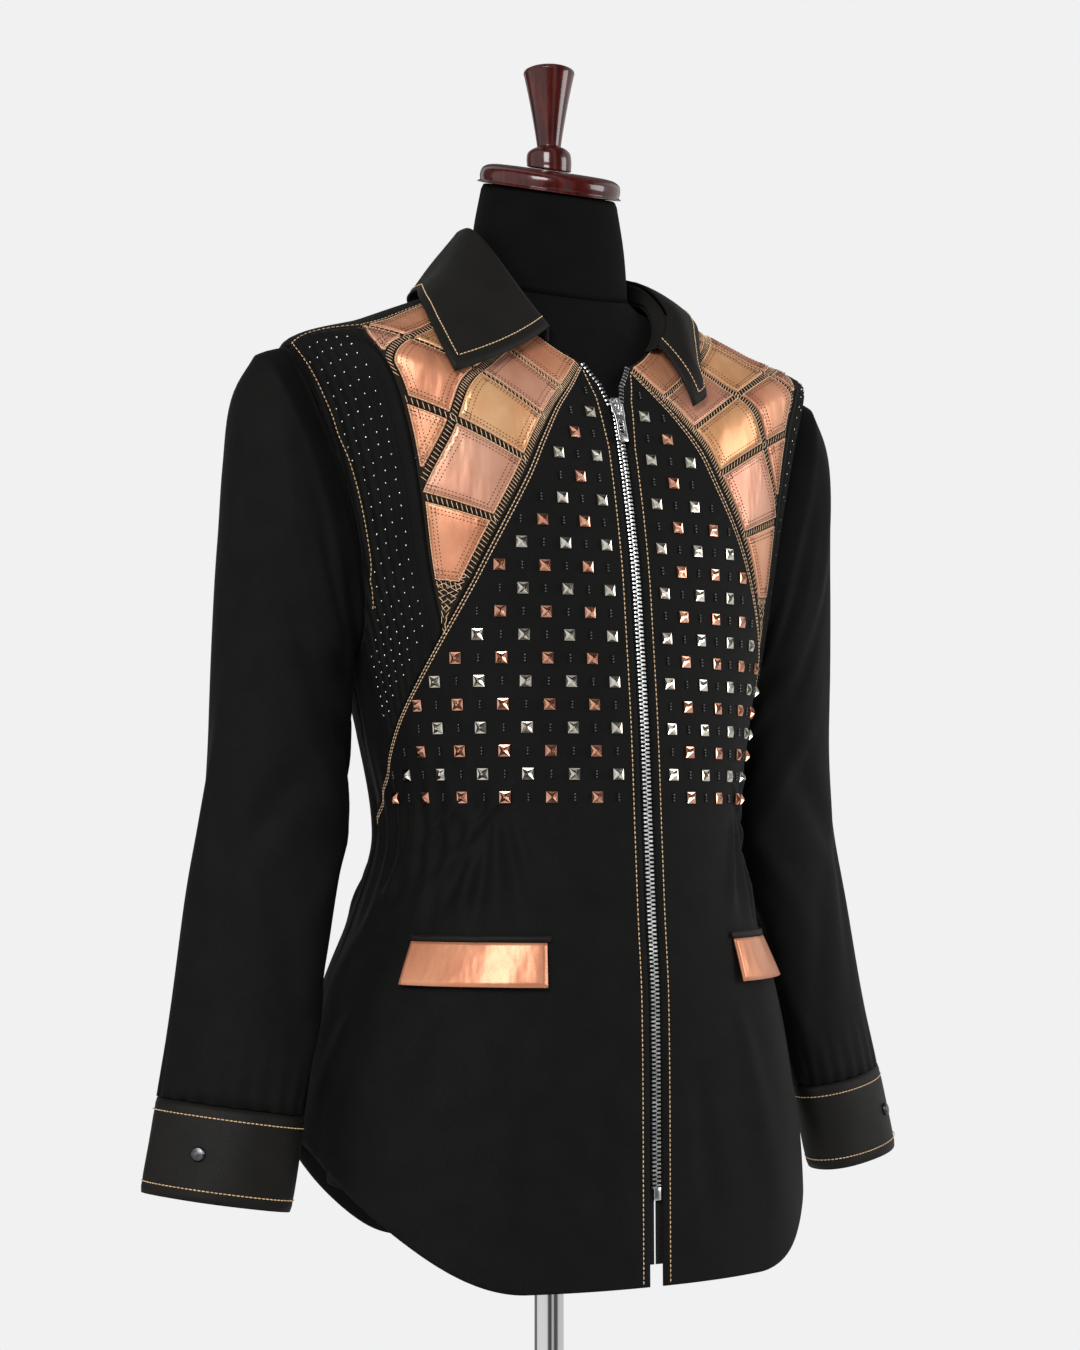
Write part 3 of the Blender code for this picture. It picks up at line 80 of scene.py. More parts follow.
ARMHOLE_LEVEL = 1.272
ARMHOLE_HALF_HEIGHT = 0.086
ARMHOLE_FRONT_ANGLE = 11.5
ARMHOLE_BACK_ANGLE = 14.0
ARMHOLE_LOW_FULLNESS = 0.45
SHOULDER_STEP = 15.0      # degrees round the armhole where the shoulder seam ends
YOKE_STEP = -45.0         # degrees round the armhole where the back yoke seam ends

GATHER_STEP = 7.0
GATHER_FRONT = 39.0
GATHER_BACK = 160.0
GATHER_DEPTH = 0.0042
GATHER_UP = 0.075
GATHER_DOWN = 0.105
GATHER_LEVEL = 1.062

STUD_SIZE = 0.0080
STUD_PITCH = 0.0163
STUD_FIRST_ARC = 0.0230
STUD_LOW_LEVEL = 1.083
BEAD_STEP = 0.0021
OPENING_CORNER = (6.5, 1.480)
TOOTH_STEP = 0.0015
TOOTH_SIZE = (0.0036, 0.00135, 0.0020)
TOOTH_LEVELS = (0.808, 1.449)
SLEEVE_SIDES = 120
EDGE_STITCH_X = 0.0112
EDGE_STITCH_TOP_X = 0.0150

TUCK_STEP = 2.5
TUCK_COUNT = 9
TUCK_RISE = 0.0021
LADDER_HALF = 0.0023
CHEST_LADDER_SHARE = 2.6
RUNG_ANGLE = math.degrees(0.0030 / 0.155)

FLAP_ANGLES = (30.5, 67.0)
FLAP_LEVELS = (0.950, 0.981)
FLAP_LIFTS = (0.0045, 0.0008)
WELT_HEIGHT = 0.0042
WELT_GAP = 0.0006
WELT_LIFT = 0.0008

FORM_BOTTOM = 0.800
CAP_TILT = math.radians(16.0)
CAP_CENTRE = 1.5415

# level, height at the side, at the front and at the back, half width, front depth, back depth
TRUNK_RINGS = np.array([
    (0.700, 0.700, 0.700, 0.700, 0.2050, 0.1530, 0.1560),
    (0.800, 0.800, 0.800, 0.800, 0.2014, 0.1520, 0.1540),
    (0.870, 0.870, 0.870, 0.870, 0.1930, 0.1515, 0.1510),
    (0.940, 0.940, 0.940, 0.940, 0.1744, 0.1500, 0.1430),
    (1.000, 1.000, 1.000, 1.000, 0.1520, 0.1450, 0.1200),
    (1.057, 1.057, 1.057, 1.057, 0.1380, 0.1410, 0.1000),
    (1.130, 1.130, 1.130, 1.130, 0.1500, 0.1360, 0.1050),
    (1.200, 1.200, 1.200, 1.200, 0.1680, 0.1290, 0.1160),
    (1.260, 1.285, 1.240, 1.255, 0.1850, 0.1245, 0.1180),
    (1.320, 1.362, 1.280, 1.310, 0.2035, 0.1175, 0.1150),
    (1.360, 1.407, 1.308, 1.345, 0.2155, 0.1115, 0.1090),
    (1.410, 1.430, 1.340, 1.385, 0.1600, 0.1035, 0.0990),
    (1.460, 1.449, 1.369, 1.425, 0.1120, 0.0945, 0.0820),
    (1.500, 1.463, 1.395, 1.456, 0.0720, 0.0830, 0.0620),
])
CHEST_SEAM = (
    (1.057, 100.0), (1.075, 94.0), (1.096, 87.0), (1.135, 76.0), (1.167, 66.5),
    (1.200, 58.0), (1.235, 50.0), (1.280, 42.5), (1.338, 35.0), (1.424, 26.8),
    (1.479, 18.5), (1.500, 14.0),
)
TUCK_SEAM = (
    (1.200, 58.0), (1.240, 60.6), (1.280, 61.8), (1.337, 65.2), (1.365, 69.5), (1.387, 76.0),
)
LADDER_LEVELS = (1.227, 1.276, 1.333, 1.390, 1.448)
INNER_LADDER = ((1.276, 62.5), (1.333, 54.5), (1.390, 50.7), (1.448, 46.0), (1.500, 40.0))
OUTER_LADDER = ((1.333, 67.0), (1.390, 66.5), (1.448, 64.0), (1.500, 60.0))
SLEEVE_RINGS = (
    (0.2020, 0.0040, 1.2870, 72.0, 0.1167, 0.0450, 0.0),
    (0.2085, 0.0080, 1.2680, 67.0, 0.1110, 0.0510, 0.0),
    (0.2100, 0.0120, 1.2400, 61.6, 0.0966, 0.0535, 0.0),
    (0.2110, 0.0160, 1.2060, 53.0, 0.0800, 0.0520, 0.0),
    (0.2120, 0.0180, 1.1650, 38.7, 0.0640, 0.0470, -4.0),
    (0.2145, 0.0160, 1.1125, 23.6, 0.0562, 0.0410, -12.0),
    (0.2235, 0.0130, 1.0550, 14.0, 0.0535, 0.0360, -20.0),
    (0.2350, 0.0080, 1.0000, 10.0, 0.0530, 0.0340, -27.0),
    (0.2480, 0.0020, 0.9300, 9.0, 0.0525, 0.0320, -30.0),
    (0.2615, -0.0040, 0.8660, 9.0, 0.0520, 0.0300, -30.0),
)
CUFF_RINGS = (
    (0.2616, -0.0041, 0.8655, 9.0, 0.0530, 0.0310, -30.0),
    (0.2684, -0.0075, 0.8320, 9.0, 0.0532, 0.0312, -30.0),
    (0.2750, -0.0105, 0.8000, 9.0, 0.0534, 0.0314, -30.0),
)
FOLD = {
    -1: ((30.0, 0.011, 0.0), (50.0, 0.024, 0.0), (70.0, 0.035, 0.0), (90.0, 0.041, 0.0),
         (120.0, 0.042, 0.0), (180.0, 0.043, 0.0)),
    1: ((30.0, 0.005, 0.009), (50.0, 0.007, 0.011), (70.0, 0.010, 0.006), (90.0, 0.016, 0.002),
        (120.0, 0.030, 0.0), (180.0, 0.043, 0.0)),
}
LEAF_EDGE = {
    -1: ((30.0, 55.0, 1.366, 0.0045), (45.0, 62.0, 1.398, 0.0045), (62.0, 72.0, 1.432, 0.0045),
         (90.0, 91.0, 1.462, 0.0045), (120.0, 120.0, 1.467, 0.0055), (180.0, 180.0, 1.472, 0.0065)),
    1: ((30.0, 33.0, 1.413, 0.0045), (37.0, 38.5, 1.411, 0.0045), (45.0, 42.5, 1.438, 0.0045),
        (62.0, 57.0, 1.460, 0.0045),
        (90.0, 88.0, 1.466, 0.0045), (120.0, 119.0, 1.468, 0.0055), (180.0, 180.0, 1.472, 0.0065)),
}
LEAF_BOW = 0.017
STAND_LEAN = 0.06
CAP_PROFILE = (
    (0.0000, 0.0000), (0.0505, 0.0000), (0.0528, 0.0025), (0.0533, 0.0070), (0.0515, 0.0115),
    (0.0450, 0.0143), (0.0300, 0.0152), (0.0000, 0.0154),
)
FINIAL_PROFILE = (
    (0.0150, 0.0000), (0.0167, 0.0030), (0.0168, 0.0085), (0.0158, 0.0125), (0.0125, 0.0150),
    (0.0093, 0.0162), (0.0092, 0.0190), (0.0112, 0.0320), (0.0148, 0.0520), (0.0186, 0.0700),
    (0.0192, 0.0722), (0.0180, 0.0745), (0.0120, 0.0768), (0.0000, 0.0780),
)
FINIAL_WAIST = 0.0162


# ---------------------------------------------------------------- the trunk's surface
def slopes_of(x, y):
    """Slopes of a smooth curve through the points that never overshoots them."""
    steps = np.diff(x)
    rates = np.diff(y) / steps
    slopes = np.zeros(len(x))
    for i in range(1, len(x) - 1):
        if rates[i - 1] * rates[i] > 0:
            before = 2 * steps[i] + steps[i - 1]
            after = steps[i] + 2 * steps[i - 1]
            slopes[i] = (before + after) / (before / rates[i - 1] + after / rates[i])
    slopes[0], slopes[-1] = rates[0], rates[-1]
    return slopes


def curve(x, y, at, slopes=None):
    """The smooth curve through the points x, y at each place."""
    x, y, at = np.asarray(x, float), np.asarray(y, float), np.asarray(at, float)
    slopes = slopes_of(x, y) if slopes is None else slopes
    i = np.clip(np.searchsorted(x, at) - 1, 0, len(x) - 2)
    h = x[i + 1] - x[i]
    t = (at - x[i]) / h
    return ((2 * t**3 - 3 * t**2 + 1) * y[i] + (t**3 - 2 * t**2 + t) * slopes[i] * h
            + (3 * t**2 - 2 * t**3) * y[i + 1] + (t**3 - t**2) * slopes[i + 1] * h)


def table(rows, at, column=1):
    """A smooth curve through one column of a table, against its first column."""
    return curve([r[0] for r in rows], [r[column] for r in rows], at)


RING_SLOPES = [slopes_of(TRUNK_RINGS[:, 0], TRUNK_RINGS[:, c]) for c in range(1, 7)]


def base(angle, level):
    """Points of the trunk without its gathers, for arrays of angles and levels."""
    angle, level = np.broadcast_arrays(np.asarray(angle, float), np.asarray(level, float))
    side, front, back, wide, deep_front, deep_back = (
        curve(TRUNK_RINGS[:, 0], TRUNK_RINGS[:, c + 1], level, RING_SLOPES[c]) for c in range(6))
    turn = np.radians(angle)
    across, ahead = np.sin(turn), np.cos(turn)
    deep = np.where(ahead > 0, deep_front, deep_back)
    end = np.where(ahead > 0, front, back)
    power = TRUNK_POWER
    radius = ((np.abs(across) / wide) ** power + (np.abs(ahead) / deep) ** power) ** (-1 / power)
    return np.stack((radius * across, -radius * ahead, side + (end - side) * ahead**2), -1)


def unit(v):
    return v / np.linalg.norm(v, axis=-1, keepdims=True)


def normal(angle, level):
    """Direction out of the trunk's surface."""
    along = base(angle + 0.4, level) - base(angle - 0.4, level)
    up = base(angle, level + 0.002) - base(angle, level - 0.002)
    return unit(np.cross(along, up))


def gather(angle, level):
    """How far the cloth dips in at the gathers of the waist."""
    turn = np.mod(angle, 360.0)
    turn = np.minimum(turn, 360.0 - turn)
    fold = np.floor((turn - GATHER_FRONT) / GATHER_STEP)
    uneven = np.mod(fold * 0.618, 1.0)
    ends = np.clip(np.minimum((turn - GATHER_FRONT) / 9.0, (GATHER_BACK - turn) / 9.0), 0, 1)
    above = 1 - (level - GATHER_LEVEL) / (GATHER_UP * (0.7 + 0.3 * uneven))
    below = 1 - (GATHER_LEVEL - level) / (GATHER_DOWN * (0.75 + 0.25 * uneven))
    fade = np.clip(np.where(level > GATHER_LEVEL, above, below), 0, 1)
    wave = 0.5 - 0.5 * np.cos(2 * np.pi * (turn - GATHER_FRONT) / GATHER_STEP)
    return -GATHER_DEPTH * (0.7 + 0.3 * uneven) * ends * fade**1.2 * wave


def drape(angle, level):
    """Slow, shallow folds of the hanging cloth, uneven from one to the next."""
    low = np.clip((1.04 - level) / 0.16, 0, 1)
    turn = np.radians(angle)
    wave = np.sin(9 * turn + 1.3) * 0.6 + np.sin(14 * turn + 0.4 + 3 * level) * 0.4
    return 0.0011 * low * wave * np.clip((np.abs(np.mod(angle + 180, 360) - 180) - 12) / 20, 0, 1)


# from this angle and level to that one, half width in degrees, how far out or in
CREASES = (
    (47.0, 1.074, 74.0, 0.992, 2.6, 0.0034), (46.0, 1.070, 64.0, 0.990, 2.4, -0.0018),
    (47.5, 1.068, 57.0, 0.988, 2.8, 0.0036), (46.5, 1.072, 50.0, 0.988, 2.2, -0.0018),
    (45.0, 1.066, 43.5, 0.988, 2.4, 0.0032), (41.0, 1.070, 37.5, 0.990, 2.2, -0.0016),
    (40.5, 1.068, 30.5, 0.995, 2.4, 0.0030), (56.0, 1.080, 84.0, 1.010, 2.2, 0.0030),
    (62.0, 1.076, 92.0, 0.965, 2.4, -0.0016), (70.0, 1.078, 99.0, 0.940, 3.0, 0.0022),
    (40.0, 1.092, 52.0, 1.060, 1.6, 0.0022), (52.0, 1.098, 46.0, 1.056, 1.5, -0.0014),
    (60.0, 1.104, 55.0, 1.058, 1.7, 0.0024), (68.0, 1.100, 73.0, 1.056, 1.6, -0.0014),
    (30.0, 0.930, 44.0, 0.770, 5.0, 0.0022), (58.0, 0.930, 70.0, 0.850, 5.5, -0.0022),
    (14.0, 0.880, 19.0, 0.760, 4.5, -0.0016), (82.0, 0.930, 90.0, 0.845, 5.0, 0.0024),
    (128.0, 1.078, 104.0, 0.975, 2.6, 0.0024), (130.0, 1.072, 116.0, 0.950, 2.4, -0.0018),
    (132.0, 1.074, 130.0, 0.935, 2.8, 0.0026), (134.0, 1.070, 145.0, 0.950, 2.4, -0.0017),
    (136.0, 1.072, 157.0, 0.985, 2.4, 0.0021), (140.0, 1.094, 128.0, 1.056, 1.6, 0.0015),
    (121.0, 1.100, 126.0, 1.058, 1.6, -0.0013), (233.0, 1.076, 258.0, 0.980, 2.6, 0.0023),
    (231.0, 1.070, 246.0, 0.945, 2.4, -0.0018), (229.0, 1.074, 232.0, 0.930, 2.8, 0.0026),
    (226.0, 1.070, 216.0, 0.955, 2.4, -0.0016), (224.0, 1.072, 203.0, 0.990, 2.4, 0.0020),
    (219.0, 1.092, 232.0, 1.058, 1.6, 0.0014), (240.0, 1.100, 236.0, 1.060, 1.5, -0.0012),
    (150.0, 0.930, 158.0, 0.770, 6.0, 0.0024), (176.0, 0.950, 183.0, 0.750, 6.5, -0.0022),
    (204.0, 0.930, 198.0, 0.780, 6.0, 0.0024), (112.0, 0.900, 118.0, 0.845, 5.0, -0.0018),
    (246.0, 0.910, 240.0, 0.840, 5.0, -0.0020), (118.0, 1.150, 140.0, 1.205, 4.0, 0.0014),
    (240.0, 1.150, 222.0, 1.210, 4.0, 0.0014), (106.0, 1.165, 124.0, 1.240, 3.6, -0.0010),
)


def crease(angle, level):
    """Soft troughs and ridges, each along a line from a gather or a seam."""
    places = plan(angle, level)
    total = np.zeros(places.shape[:-1])
    for a0, v0, a1, v1, wide, deep in CREASES:
        start, end = plan(a0, v0), plan(a1, v1)
        way = end - start
        long = np.hypot(*way)
        along = (places - start) @ way / long**2
        aside = (places - start) @ np.array((-way[1], way[0])) / long
        half = math.radians(wide) * PLAN_RADIUS * (0.55 + 0.75 * np.clip(along, 0, 1))
        fade = np.clip((along + 0.10) / 0.25, 0, 1) * np.clip((1.12 - along) / 0.55, 0, 1)
        total += deep * np.exp(-((aside / half) ** 2)) * fade * fade * (3 - 2 * fade)
    return total


def trunk(angle, level, out=0.0):
    """Points of the jacket's trunk, moved out of the surface by a distance."""
    away = gather(angle, level) + drape(angle, level) + crease(angle, level) + out
    return base(angle, level) + normal(angle, level) * np.asarray(away)[..., None]


def hem(angle):
    turn = np.abs(angle)
    turn = np.where(turn <= 180, turn, 360 - turn)
    away = np.minimum(np.abs(turn - HEM_PEAK_ANGLE) / HEM_PEAK_SPREAD, 1.0)
    return HEM_LEVEL + HEM_RISE * (0.5 + 0.5 * np.cos(np.pi * away))


def front_edge(level, x=FRONT_EDGE_X):
    """Angle of a line beside the zip."""
    return np.degrees(np.arctan2(x, -base(0.0, level)[..., 1]))


def side_seam(level):
    share = np.clip((level - WAIST_LEVEL) / (ARMHOLE_LEVEL - ARMHOLE_HALF_HEIGHT - WAIST_LEVEL), 0, 1)
    return SIDE_SEAM_ANGLE + (UNDERARM_ANGLE - SIDE_SEAM_ANGLE) * share


def armhole(turn, inset=0.0):
    """Angle and level round the armhole: 0 at the shoulder, 90 at the front, 180 underneath."""
    turn = np.radians(turn)
    width = np.where(np.sin(turn) > 0, ARMHOLE_FRONT_ANGLE, ARMHOLE_BACK_ANGLE)
    full = width * (1 - ARMHOLE_LOW_FULLNESS * np.cos(turn)) - math.degrees(inset / 0.18)
    tall = ARMHOLE_HALF_HEIGHT - inset
    return UNDERARM_ANGLE - full * np.sin(turn), ARMHOLE_LEVEL + tall * np.cos(turn)


# ---------------------------------------------------------------- the cutting plan
def plan(angle, level):
    return np.stack(np.broadcast_arrays(np.radians(angle) * PLAN_RADIUS, level), -1)


def unplan(places):
    return np.degrees(places[..., 0] / PLAN_RADIUS), places[..., 1]


def run(angles, levels, count=2):
    """A run of (angle, level) rows, straight on the plan, with this many steps."""
    share = np.linspace(0, 1, count + 1)
    return np.stack([ends[0] + (ends[1] - ends[0]) * share for ends in (angles, levels)], -1)


def seam_run(rows, low, high, count):
    levels = np.linspace(low, high, count + 1)
    return np.stack((table(rows, levels), levels), -1)


def joined(*runs):
    """One closed outline on the plan, anticlockwise, without repeated points."""
    places = plan(*np.concatenate([np.asarray(r, float) for r in runs]).T)
    kept = [places[0]]
    for place in places[1:]:
        if np.hypot(*(place - kept[-1])) > SAME_PLACE:
            kept.append(place)
    if np.hypot(*(kept[0] - kept[-1])) < SAME_PLACE:
        kept.pop()
    places = np.array(kept)
    after = np.roll(places, -1, axis=0)
    if (places[:, 0] * after[:, 1] - after[:, 0] * places[:, 1]).sum() < 0:
        places = places[::-1]
    return places


def drawn_in(outline, gap):
    """The outline moved inwards by a gap measured on the cloth."""
    before, after = np.roll(outline, 1, axis=0), np.roll(outline, -1, axis=0)
    first, second = unit(outline - before), unit(after - outline)
    middle = np.stack((-first[:, 1] - second[:, 1], first[:, 0] + second[:, 0]), -1)
    size = np.maximum(np.hypot(*middle.T), 0.7)
    radius = np.hypot(*base(*unplan(outline))[:, :2].T)
    reach = 2 * gap / size**2 * np.maximum(1.0, PLAN_RADIUS / radius)
    return outline + middle * reach[:, None]


def distance_to(places, outline):
    """Distance from each place to a closed outline."""
    best = np.full(len(places), 9.0)
    for start, end in zip(outline, np.roll(outline, -1, axis=0)):
        way = end - start
        share = np.clip(((places - start) @ way) / max(way @ way, 1e-12), 0, 1)
        best = np.minimum(best, np.hypot(*(start + share[:, None] * way - places).T))
    return best


def inside(places, outline):
    """Which places lie inside a closed outline."""
    result = np.zeros(len(places), bool)
    for (x0, y0), (x1, y1) in zip(outline, np.roll(outline, -1, axis=0)):
        if y0 != y1:
            cross = ((y0 > places[:, 1]) != (y1 > places[:, 1]))
            result ^= cross & (places[:, 0] < (x1 - x0) * (places[:, 1] - y0) / (y1 - y0) + x0)
    return result


def grid(outline, across, up, margin=0.55):
    """Places on an even grid inside an outline and clear of its edge."""
    low, high = outline.min(axis=0), outline.max(axis=0)
    x, y = np.meshgrid(np.arange(low[0] + across / 2, high[0], across),
                       np.arange(low[1] + up / 2, high[1], up))
    places = np.stack((x.ravel(), y.ravel()), -1)
    places = places[inside(places, outline)]
    return places[distance_to(places, outline) > margin * min(across, up)]


# ---------------------------------------------------------------- meshes
def mesh_object(name, points, faces, material=None, places=None):
    """A smooth-shaded object. The places, where given, are its UV map, in metres of cloth."""
    mesh = bpy.data.meshes.new(name)
    mesh.from_pydata(np.asarray(points).tolist(), [], [list(map(int, f)) for f in faces])
    mesh.shade_smooth()
    if places is not None:
        loops = np.zeros(len(mesh.loops), int)
        mesh.loops.foreach_get("vertex_index", loops)
        mesh.uv_layers.new(name="cloth").data.foreach_set("uv", np.asarray(places)[loops].ravel())
    if material:
        mesh.materials.append(material)
    piece = bpy.data.objects.new(name, mesh)
    bpy.context.scene.collection.objects.link(piece)
    return piece


def solid(piece, wall):
    """Gives a skin its wall, inwards."""
    thick = piece.modifiers.new("wall", "SOLIDIFY")
    thick.thickness = wall
    thick.offset = -1.0
    thick.use_even_offset = False
    return piece


def put(piece, node=None, body=GARMENT):
    """Makes a piece ride on its body, and stand for its solid."""
    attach(piece, body)
    if node:
        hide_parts(node)
    return piece


def sided(points, faces, side):
    """The points and faces of a piece, mirrored for the wearer's right."""
    if side < 0:
        points[:, 0] *= -1
        faces = [face[::-1] for face in faces]
    return points, faces


def area_of(points, faces):
    """The area of a mesh of triangles and quads."""
    total = 0.0
    points = np.asarray(points)
    for f in faces:
        a, b, c = points[f[0]], points[f[1]], points[f[2]]
        total += np.linalg.norm(np.cross(b - a, c - a)) / 2
        if len(f) == 4:
            total += np.linalg.norm(np.cross(c - a, points[f[3]] - a)) / 2
    return total


def panel(name, outline, material, node, side=1, wall=CLOTH, lift=None, spacing=(0.0026, 0.0040),
          holes=(), extra=None, flat=None):
    """A fine cloth panel on the trunk's surface. lift gives how far each place stands out."""
    places = [outline] + list(holes)
    borders, first = [], 0
    for ring in places:
        borders += [(first + i, first + (i + 1) % len(ring)) for i in range(len(ring))]
        first += len(ring)
    more = grid(outline, *spacing) if extra is None else extra
    for hole in holes:
        more = more[~inside(more, hole)]
        more = more[distance_to(more, hole) > 0.5 * min(spacing)]
    everything = np.concatenate(places + [more])
    corners = [Vector(p) for p in everything]
    flat_places, _, faces, _, _, _ = delaunay_2d_cdt(corners, borders, [], 0, 1e-7)
    spots = np.array([tuple(p) for p in flat_places])
    faces = np.array([f for f in faces if len(f) == 3])
    middles = spots[faces].mean(axis=1)
    kept = inside(middles, outline)
    for hole in holes:
        kept &= ~inside(middles, hole)
    faces = faces[kept]
    used, faces = np.unique(faces, return_inverse=True)
    faces = faces.reshape(-1, 3)
    spots = spots[used]
    away = lift(*unplan(spots)) if lift else 0.0
    points = trunk(*unplan(spots), away)
    area = area_of(points, faces)
    if not flat:
        first, second, third = (spots[faces[:, corner]] for corner in range(3))
        drawn = np.abs(np.cross(second - first, third - first)).sum() / 2
        width, length = (outline.max(axis=0) - outline.min(axis=0)) * math.sqrt(area / drawn)
        flat = (min(width, area / (LEAST_SHARE * length)), length)
    points, faces = sided(points, faces, side)
    piece = solid(mesh_object(name, points, faces, material, spots), wall)
    put(piece, node)
    return piece


def ring_grid(name, rows, material, node, side=1, wall=CLOTH, closed=True):
    """A fine wall through rows of points, given from the outer skin's side."""
    rows = np.asarray(rows)
    down, across = rows.shape[:2]
    index = np.arange(down * across).reshape(down, across)
    right = np.roll(index, -1, axis=1) if closed else index[:, 1:]
    left = index if closed else index[:, :-1]
    faces = np.stack((left[:-1], right[:-1], right[1:], left[1:]), -1).reshape(-1, 4)
    points = rows.reshape(-1, 3).copy()
    before = rows[:, -1:] if closed else rows[:, :1]
    x = np.cumsum(np.linalg.norm(np.diff(rows, axis=1, prepend=before), axis=2), axis=1)
    y = np.cumsum(np.linalg.norm(np.diff(rows, axis=0, prepend=rows[:1]), axis=2), axis=0)
    uv = np.stack((x, -y), -1).reshape(-1, 2)
    points, faces = sided(points, faces, side)
    piece = solid(mesh_object(name, points, faces, material, uv), wall)
    put(piece, node)
    return piece


def smooth_rows(rows, parts):
    """More rows, on smooth curves through the given rows of points."""
    rows = np.asarray(rows, float)
    padded = np.concatenate((2 * rows[:1] - rows[1:2], rows, 2 * rows[-1:] - rows[-2:-1]))
    result = []
    for i in range(1, len(padded) - 2):
        for t in np.arange(parts) / parts:
            a, b, c, d = padded[i - 1:i + 3]
            result.append(0.5 * (2 * b + (c - a) * t + (2 * a - 5 * b + 4 * c - d) * t**2
                                 + (3 * b - a - 3 * c + d) * t**3))
    return np.array(result + [rows[-1]])


# ---------------------------------------------------------------- thread and beads
def resample(points, normals, step):
    """Evenly spaced points along a line, with the surface's direction at each."""
    points, normals = np.asarray(points, float), np.asarray(normals, float)
    length = np.concatenate(([0], np.cumsum(np.linalg.norm(np.diff(points, axis=0), axis=1))))
    count = max(int(length[-1] / step), 1)
    at = (np.arange(count) + 0.5) * length[-1] / count
    spots = np.stack([np.interp(at, length, points[:, k]) for k in range(3)], -1)
    out = unit(np.stack([np.interp(at, length, normals[:, k]) for k in range(3)], -1))
    ahead = np.stack([np.interp(at + step * 0.2, length, points[:, k]) for k in range(3)], -1)
    behind = np.stack([np.interp(at - step * 0.2, length, points[:, k]) for k in range(3)], -1)
    return spots, unit(ahead - behind), out


# along the stitch in its lengths, then how wide and how high in its radii
STITCH_RINGS = (
    (-0.50, 0.25, -0.8), (-0.34, 0.85, 0.1), (0.0, 1.0, 0.35), (0.34, 0.85, 0.1), (0.50, 0.25, -0.8),
)


def stitches(name, lines, material, step=0.0034, length=0.0026, radius=0.00044, sides=5, side=1):
    """Rows of stitches along lines of (points, directions out of the cloth), in one mesh."""
    spots, ways, outs = (np.concatenate(part) for part in zip(*[resample(*line, step) for line in lines]))
    across = unit(np.cross(ways, outs))
    points = []
    for at, wide, high in STITCH_RINGS:
        for k in range(sides):
            turn = 2 * math.pi * k / sides
            points.append(spots + ways * at * length + across * (math.cos(turn) * wide * radius)
                          + outs * (radius * (0.6 * math.sin(turn) * wide + high)))
    points = np.stack(points, 1)
    count, per = points.shape[:2]
    faces = []
    for ring in range(len(STITCH_RINGS) - 1):
        for k in range(sides):
            n = (k + 1) % sides
            a, b = ring * sides + k, ring * sides + n
            faces.append((a, b, b + sides, a + sides))
    ends = [list(range(sides))[::-1], list(range(per - sides, per))]
    offsets = np.arange(count) * per
    everything = (np.array(faces)[None] + offsets[:, None, None]).reshape(-1, 4).tolist()
    everything += (np.array(ends)[None] + offsets[:, None, None]).reshape(-1, sides).tolist()
    points, everything = sided(points.reshape(-1, 3), everything, side)
    return put(mesh_object(name, points, everything, material))


def copies(name, spots, ways, outs, shape, faces, material, side=1, flat=False):
    """Copies of one small shape, x across, y along and z out of the cloth, in one mesh."""
    spots, ways, outs = np.asarray(spots), unit(np.asarray(ways)), unit(np.asarray(outs))
    across = unit(np.cross(ways, outs))
    shape = np.asarray(shape, float)
    points = (spots[:, None] + across[:, None] * shape[None, :, 0:1] + ways[:, None] * shape[None, :, 1:2]
              + outs[:, None] * shape[None, :, 2:3]).reshape(-1, 3)
    everything = [[i + k * len(shape) for i in f] for k in range(len(spots)) for f in faces]
    points, everything = sided(points, everything, side)
    piece = mesh_object(name, points, everything, material)
    if flat:
        piece.data.shade_flat()
    return put(piece)


def ball(radius, stretch=1.0, sides=8, rings=5):
    """A small bead: its points and faces."""
    points, faces = [(0, -radius * stretch, 0)], []
    for r in range(1, rings):
        lean = math.pi * r / rings
        for k in range(sides):
            turn = 2 * math.pi * k / sides
            points.append((radius * math.sin(lean) * math.cos(turn), -radius * stretch * math.cos(lean),
                           radius * math.sin(lean) * math.sin(turn)))
    points.append((0, radius * stretch, 0))
    last = len(points) - 1
    for k in range(sides):
        n = (k + 1) % sides
        faces.append((0, 1 + k, 1 + n))
        faces.append((last, last - sides + n, last - sides + k))
        for r in range(rings - 2):
            a, b = 1 + r * sides + k, 1 + r * sides + n
            faces.append((a, a + sides, b + sides, b))
    return points, [list(f) for f in faces]


def on_trunk(angle, level, out=0.0):
    """A line on the trunk, as points and directions."""
    angle, level = np.broadcast_arrays(np.asarray(angle, float), np.asarray(level, float))
    return trunk(angle, level, np.zeros(angle.shape) + out), normal(angle, level)


